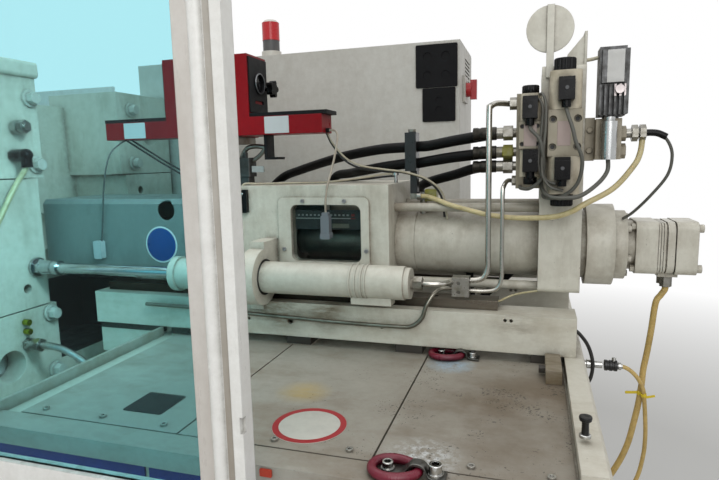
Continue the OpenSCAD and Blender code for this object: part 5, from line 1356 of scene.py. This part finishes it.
class MACHINE_OT_deck_trim(bpy.types.Operator):
    """Makes the ringed disc and black pad on the deck, and the red cap on its lip"""
    bl_idname = "machine.deck_trim"
    bl_label = "Deck trim"

    def execute(self, context):
        deck = box_side("deck_screws", 2, False)
        # vinyl that is walked on: off-white and dusty
        white = moulded("White film", linear("#c9c7bd"), 0.4, 0.5)
        part("deck_disc", [pin([(0, 120), (0.6, 120), (0.7, 119)], *DECK_DISC, deck, UPWARD, 64)], white,
             "bed")
        # vinyl that is walked on: dusty red
        red = moulded("Red film", linear("#a8262c"), 0.4, 0.4)
        ring = open_ring([(0.5, 119), (0.95, 119), (0.95, 99), (0.5, 99)], *DECK_DISC, deck, UPWARD, 64)
        part("deck_disc_ring", [ring], red, "bed")
        # moulded rubber: black and matt
        rubber = moulded("Black rubber pad", linear("#161616"), 0.6)
        part("deck_pad", [floor_sign(611.5, -539, deck, 77, 76, 1.4, 4)], rubber, "bed")
        edge = box_side("deck_plates", 1, False)
        # moulded cap: red-orange and satin
        orange = moulded("Red-orange cap", linear("#c2391c"), 0.4)
        part("lip_cap", [sign(897, deck - 9, edge, 18, 11, 3)], orange, "bed")
        return {"FINISHED"}


class MACHINE_OT_rim_knob(bpy.types.Operator):
    """Makes the black mushroom knob on the rim, with its bright collar"""
    bl_idname = "machine.rim_knob"
    bl_label = "Rim knob"

    def execute(self, context):
        top = box_side("end_rim", 2, True)
        # moulded phenolic: deep black and satin
        black = moulded("Black moulded knob", linear("#0b0b0c"), 0.34, 0.2)
        profile = [(4, 10.5), (20, 9.6), (23, 11), (25, 16.5), (29, 18), (31, 17), (31.6, 13), (30.6, 6)]
        part("rim_knob", [pin(profile, *KNOB_PLACE, top, UPWARD)], black, "bed")
        # turned steel: bright
        bright = metal("Bright collar", linear("#c9c9c6"), 0.2)
        part("rim_knob_collar", [pin([(0, 16), (4, 16), (5, 14), (5, 11)], *KNOB_PLACE, top, UPWARD)],
             bright, "bed")
        return {"FINISHED"}


class MACHINE_OT_nylon_parts(bpy.types.Operator):
    """Makes the black nylon parts: the valves' ribbed grips, the housing's switch and the pick-up's sleeve"""
    bl_idname = "machine.nylon_parts"
    bl_label = "Nylon parts"

    def execute(self, context):
        grips = [fluted(LARGE_VALVE_X - 2, VALVE_Y - 41, 355, 38, 22, 20),
                 fluted(LARGE_VALVE_X - 2, VALVE_Y - 41, 99, 40, 22, 20),
                 fluted(SMALL_VALVE_X, VALVE_Y - 35, 317, 30, 14, 16),
                 fluted(SMALL_VALVE_X + 2, VALVE_Y - 35, 141, 24, 14, 16)]
        # glass-filled nylon: black with little shine
        black = moulded("Black ribbed nylon", linear("#070708"), 0.3, 0.12, gloss=0.2)
        part("knob_grips", grips, black, "carriage")
        part("housing_switch", [sign(SWITCH_X, 104.5, -128, 21, 55, 12, 2)], black, "carriage")
        # plated steel: bright
        screw = metal("Bright screw", linear("#c9c9c6"), 0.2)
        part("housing_switch_screw", [pin([(0, 7), (2, 7), (2.6, 5)], SWITCH_X, -140, 122, FORWARD)], screw,
             "carriage")
        thin_line("pick_up_sleeve", black, "carriage")
        return {"FINISHED"}


class MACHINE_OT_plate_lead(bpy.types.Operator):
    """Makes the short cream lead between the end plate's top and the amplifier"""
    bl_idname = "machine.plate_lead"
    bl_label = "Plate lead"

    def execute(self, context):
        # PVC sheath: cream, a little yellowed
        lead = pvc_hose("Cream lead", linear("#c9c3ac"), linear("#8c8263"), 0.05, 0.4)
        thin_line("plate_lead", lead, "carriage")
        return {"FINISHED"}


class MACHINE_OT_carriage_plate(bpy.types.Operator):
    """Makes the small clean plate on the near side of the carriage"""
    bl_idname = "machine.carriage_plate"
    bl_label = "Carriage plate"

    def execute(self, context):
        # the castings' enamel, wiped clean: pale and satin
        wiped = enamel("Clean plate enamel", tuple(colours().paint), tuple(colours().paint_soil), 0.1, 0.36)
        part("carriage_plate", [sign(632, -126, -182, 33, 36, 4, 1)], wiped, "carriage")
        return {"FINISHED"}


class MACHINE_OT_thin_lines(bpy.types.Operator):
    """Makes the thin cables, leads and lines that the construction leaves out, with their end parts"""
    bl_idname = "machine.thin_lines"
    bl_label = "Thin lines"

    def execute(self, context):
        # PVC sheath: nearly black, satin
        dark = moulded("Dark PVC cable", linear("#1b1a19"), 0.4, 0.2)
        # PVC sheath: cream under brown dirt
        cream = pvc_hose("Cream PVC cable", linear("#b5ad98"), linear("#7d735a"), 0.05, 0.4)
        # turned steel: bright
        steel = metal("Bright stud", linear("#c2c2bf"), 0.2)
        thin_line("signal_cable_dark", dark, "carriage")
        thin_line("signal_cable_cream", cream, "carriage")
        thin_line("roof_cable", cream, "carriage")
        thin_line("roof_cable_dark", dark, "carriage")
        stud = [(0, 9), (17, 9), (17, 17), (24, 17), (24, 9), (31, 8)]
        part("cable_stud", [pin(stud, 930, -26, 141, UPWARD, 12)], steel, "carriage")
        # PVC sheath: grey and dusty
        thin_line("cover_cable", moulded("Grey PVC lead", linear("#4a4d4c")), "carriage")
        # moulded polycarbonate: pale grey and smooth
        smoky = moulded("Pale plug housing", linear("#a9b0b0"), 0.3, 0.2)
        part("cover_plug", [sign(142, -25, -120, 26, 48, 16, 5)], smoky, "carriage")
        # two leads that start a gap apart and close up towards the cover
        leads = [run([[205 + gap, -70, 263 + gap / 4], [300 + gap, -66, 206 + gap / 4],
                      [372 + gap, -62, 165 + gap / 4], [410 + gap / 2, -60, 132],
                      [418 - gap / 2, -58, 106]], 5) for gap in (0, LEAD_GAP)]
        part("cover_leads", leads, dark, "carriage")
        # soft PVC: beige, lit a little way into its wall
        beige = pvc_hose("Beige PVC hose", linear("#c6bd97"), linear("#857a52"), 0.15, 0.3)
        thin_line("platen_hose", beige, "bed")
        socket = [(0, 26), (9, 26), (10, 24), (10, 15)]
        part("platen_hose_socket", [pin(socket, 0, -334, 4, ALONG, 6)], steel, "bed")
        line = thin_line("grease_line", beige, None)
        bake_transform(line)
        thin_line("rim_loop", dark, "bed")
        return {"FINISHED"}


class MACHINE_OT_valve_bundle(bpy.types.Operator):
    """Makes the two grey leads that run down beside the smaller valve into the loom"""
    bl_idname = "machine.valve_bundle"
    bl_label = "Valve bundle"

    def execute(self, context):
        # PVC sheath: grey under a film of dust
        grey = moulded("Grey lead", linear("#5d5c55"), 0.5, 0.35)
        part("valve_bundle", [run(points, width) for width, points in BUNDLE_ROUTES], grey, "carriage")
        return {"FINISHED"}


class MACHINE_OT_throat_lever(bpy.types.Operator):
    """Makes the clamping lever of the doser's throat, its column and its clear flap"""
    bl_idname = "machine.throat_lever"
    bl_label = "Throat lever"

    def execute(self, context):
        # cast iron: dark, dull and stained with oil
        iron = metal("Dark cast column", linear("#5c5d5c"), 0.42, stain=linear("#2b2824"), stain_amount=0.6)
        column = [bar(522, -46, 44, 552, -14, 160, 4), bar(514, -50, 160, 557, -10, 208, 5),
                  bar(529, -36, 208, 541, -24, 222, 3)]
        part("throat_column", column, iron, "carriage")
        # drawn aluminium tube: pale grey, darkened by hands
        alloy = metal("Bent alloy tube", linear("#8f8e88"), 0.3, stain=linear("#57524a"), stain_amount=0.5)
        part("throat_lever", [run(points, width) for width, points in LEVER_ROUTES], alloy, "carriage")
        # moulded flap: a smoky grey, smooth
        smoky = moulded("Smoky clear flap", linear("#a8aba9"), 0.2)
        part("throat_flap", [sign(575, 179, -38, 34, 16, 4, 2)], smoky, "carriage")
        return {"FINISHED"}


class MACHINE_OT_cylinder_gap(bpy.types.Operator):
    """Makes a ring of painted shadow in the gap round the near traversing cylinder where it leaves the
    housing's ear
    """
    bl_idname = "machine.cylinder_gap"
    bl_label = "Cylinder gap"

    def execute(self, context):
        wide = TRAVERSE_WIDTH + 10
        inner = TRAVERSE_WIDTH - 0.6
        rows = [(0, wide), (0.8, wide), (1.0, wide - 1), (1.0, inner), (0, inner)]
        # painted shadow in the gap: nearly black
        black = moulded("Painted shadow in the gap", linear("#151513"), 0.4)
        part("cylinder_gap", [open_ring(rows, 664, -TRAVERSE_Y, TRAVERSE_Z, ALONG, 64)], black, "carriage")
        return {"FINISHED"}


class MACHINE_OT_quick_coupling(bpy.types.Operator):
    """Makes the quick coupling at the rim with its screwed neck, ribbed sleeve and tail"""
    bl_idname = "machine.quick_coupling"
    bl_label = "Quick coupling"

    def execute(self, context):
        # moulded sleeve: black and satin
        black = moulded("Black knurled sleeve", linear("#0e0e0f"), 0.4, 0.2)
        # plated steel: bright
        bright = metal("Bright coupling", linear("#c4c4c1"), 0.2)
        foot = (BED_X1 - 1, COUPLING_Y, COUPLING_Z)
        neck = [(0, 26), (16, 26), (17, 17), (30, 17), (31, 21), (44, 21), (45, 16), (63, 16)]
        part("coupling_neck", [pin(neck, *foot, ALONG, 24)], bright, "bed")
        sleeve = [(67, 20), (68, 24), (73, 24), (74, 22), (77, 22), (78, 24), (83, 24), (84, 22), (87, 22),
                  (88, 24), (93, 24), (94, 20)]
        part("coupling_sleeve", [pin(sleeve, *foot, ALONG)], black, "bed")
        tail = [pin([(92, 14), (96, 14), (96, 17), (101, 17), (101, 12), (104, 12)], *foot, ALONG, 24),
                pin([(0, 9), (14, 9), (15, 7)], BED_X1 + 86, COUPLING_Y, COUPLING_Z + 3, (0, 0.2, 1), 16)]
        part("coupling_tail", tail, bright, "bed")
        return {"FINISHED"}


class MACHINE_OT_hose_ties(bpy.types.Operator):
    """Makes the yellow tie round each drain hose"""
    bl_idname = "machine.hose_ties"
    bl_label = "Hose ties"

    def execute(self, context):
        # moulded nylon: yellow and satin
        yellow = moulded("Yellow cable tie", linear("#d8bf2a"), 0.4, 0.1)
        band = open_ring([(0, 16.4), (8, 16.4), (8, 12.6), (0, 12.6)], PORT_X - 38.5, -21, -332,
                         (0.11, 0.04, 1), 24)
        tail = slab(at(1460, -22, -328), (0.99, 0, 0.1), (-0.1, 0, 0.99), 0.026, 0.006, 0.0016, 0.0008,
                    0.0002)
        tie = part("drain_tie", [band, tail], yellow, None)
        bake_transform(tie)
        band = open_ring([(0, 12.4), (7, 12.4), (7, 8.6), (0, 8.6)], 1483, -35, -330, (-0.22, -0.1, 1), 24)
        tail = slab(at(1495, -36, -329), (0.96, 0, 0.28), (-0.28, 0, 0.96), 0.02, 0.005, 0.0016, 0.0008,
                    0.0002)
        part("thin_drain_tie", [band, tail], yellow, "bed")
        return {"FINISHED"}


class MACHINE_OT_load_brackets(bpy.types.Operator):
    """Makes the load brackets: red forged ring, grey strap and two bright socket bolts, front and rear"""
    bl_idname = "machine.load_brackets"
    bl_label = "Load brackets"

    def execute(self, context):
        dark = tuple(colours().shackle)
        # powder coat on a forging: dark red, smooth, with a soft shine
        self.red = enamel("Dark red powder coat on forged rings", dark, linear("#2c0a12"), 0.35, 0.28,
                          specks=0.1)
        # forged steel: grey with dark stains
        self.iron = metal("Grey forged strap", linear("#6b6b67"), 0.36, stain=linear("#2f2d2a"),
                          stain_amount=0.5)
        # plated steel: bright
        self.bright = metal("Bright socket bolt", linear("#cfcfcc"), 0.18)
        deck = box_side("deck_screws", 2, False)
        hollow = [(0, 19), (2.5, 19), (2.5, 15), (10, 15), (10.8, 13.6), (10.8, 9.5), (4, 8.6), (4, 0.5)]
        tall = [(0, 22), (4, 22), (4, 18), (15, 18), (16, 16.5), (16, 11), (7, 10), (7, 0.5)]
        low, high = (corner[1] * 1000 + MID_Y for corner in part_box("transport_brackets"))
        for name, y, right in (("near", low + 32, tall), ("far", high - 25, hollow)):
            ring = self.ring("load_ring_" + name, y, deck)
            strap = self.strap("load_strap_" + name, y, deck)
            heads = [pin(rows, x, y + 2, deck + 4, UPWARD, 24) for x, rows in zip(BOLT_X, (hollow, right))]
            bolts = part("load_bolts_" + name, heads, self.bright, "bed")
            for piece in (ring, strap, bolts):
                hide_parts("transport_brackets")
        return {"FINISHED"}

    def ring(self, name, y, deck):
        """Forged bar bent to an oval that widens to the left: x = 32 cos v, y = (24 - 3 cos v) sin v."""
        turn = np.linspace(0, 2 * np.pi, 49)
        across = y - 1 + (24 - 3 * np.cos(turn)) * np.sin(turn)
        oval = np.stack([RING_X + 32 * np.cos(turn), across, 0 * turn + deck + 7.5], axis=1)
        points, faces, uv = swept(route(oval), 0.0068, 16)
        return make_piece(name, points, faces, self.red, "bed", uv)

    def strap(self, name, y, deck):
        """Flat bar over the ring's right side: a flat profile carried along a curve, widest at its ends."""
        rows = [(1052, 0), (1078, 0), (1088, 5), (1096, 14), (1106, 15.5), (1114, 12), (1120, 2), (1128, 0),
                (1142, 0)]
        centre = smooth_path([(x, y + 2, deck + 0.3 + rise) for x, rise in rows], 5)
        half = 11 + 3 * np.cos(np.linspace(0, 2 * np.pi, len(centre)))
        edge = [(-1, 0), (-1, 3.4), (-0.9, 4), (0.9, 4), (1, 3.4), (1, 0)]
        bar_points = [centre + np.stack([0 * half, side * half, 0 * half + up], axis=1)
                      for side, up in edge]
        points = route(np.stack(bar_points, axis=1).reshape(-1, 3))
        count = len(centre)
        ends = [np.arange(6)[::-1], np.arange(6) + 6 * (count - 1)]
        return make_piece(name, points, [*grid_faces(count, 6, True), *ends], self.iron, "bed")


class MACHINE_PT_panel(bpy.types.Panel):
    """Lists the machine's makers, colours and sizes"""
    bl_idname = "MACHINE_PT_panel"
    bl_label = "Moulding machine"
    bl_space_type = "VIEW_3D"
    bl_region_type = "UI"
    bl_category = "Machine"

    def draw(self, context):
        column = self.layout.column()
        for maker in OPERATORS:
            column.operator(maker.bl_idname)
        for group in (context.scene.machine_colours, context.scene.machine_sizes):
            for name in group.bl_rna.properties.keys():
                if name not in ("rna_type", "name"):
                    column.prop(group, name)


OPERATORS = (
    MACHINE_OT_camera, MACHINE_OT_hanging_cable, MACHINE_OT_stage, MACHINE_OT_finishes, MACHINE_OT_hoses,
    MACHINE_OT_cables, MACHINE_OT_fields, MACHINE_OT_sight_glass, MACHINE_OT_window_scale,
    MACHINE_OT_deck_trim, MACHINE_OT_rim_knob, MACHINE_OT_nylon_parts, MACHINE_OT_plate_lead,
    MACHINE_OT_carriage_plate, MACHINE_OT_thin_lines, MACHINE_OT_valve_bundle, MACHINE_OT_throat_lever,
    MACHINE_OT_cylinder_gap, MACHINE_OT_quick_coupling, MACHINE_OT_hose_ties, MACHINE_OT_load_brackets,
)
CLASSES = (MachineColours, MachineSizes, *OPERATORS, MACHINE_PT_panel)


def register():
    """Adds the classes and the scene's two property groups."""
    for made in CLASSES:
        bpy.utils.register_class(made)
    bpy.types.Scene.machine_colours = bpy.props.PointerProperty(type=MachineColours)
    bpy.types.Scene.machine_sizes = bpy.props.PointerProperty(type=MachineSizes)


def unregister():
    """Takes the classes and the property groups away."""
    del bpy.types.Scene.machine_colours
    del bpy.types.Scene.machine_sizes
    for made in reversed(CLASSES):
        bpy.utils.unregister_class(made)


def main():
    """Makes the whole scene."""
    register()
    bpy.context.scene.view_settings.view_transform = "Standard"
    bpy.ops.machine.camera()
    bpy.ops.machine.hanging_cable()
    bpy.ops.machine.stage()
    bpy.ops.machine.finishes()
    bpy.ops.machine.hoses()
    bpy.ops.machine.cables()
    bpy.ops.machine.fields()
    bpy.ops.machine.sight_glass()
    bpy.ops.machine.window_scale()
    bpy.ops.machine.deck_trim()
    bpy.ops.machine.rim_knob()
    bpy.ops.machine.nylon_parts()
    bpy.ops.machine.plate_lead()
    bpy.ops.machine.carriage_plate()
    bpy.ops.machine.thin_lines()
    bpy.ops.machine.valve_bundle()
    bpy.ops.machine.throat_lever()
    bpy.ops.machine.cylinder_gap()
    bpy.ops.machine.quick_coupling()
    bpy.ops.machine.hose_ties()
    bpy.ops.machine.load_brackets()


if __name__ == "__main__":
    main()
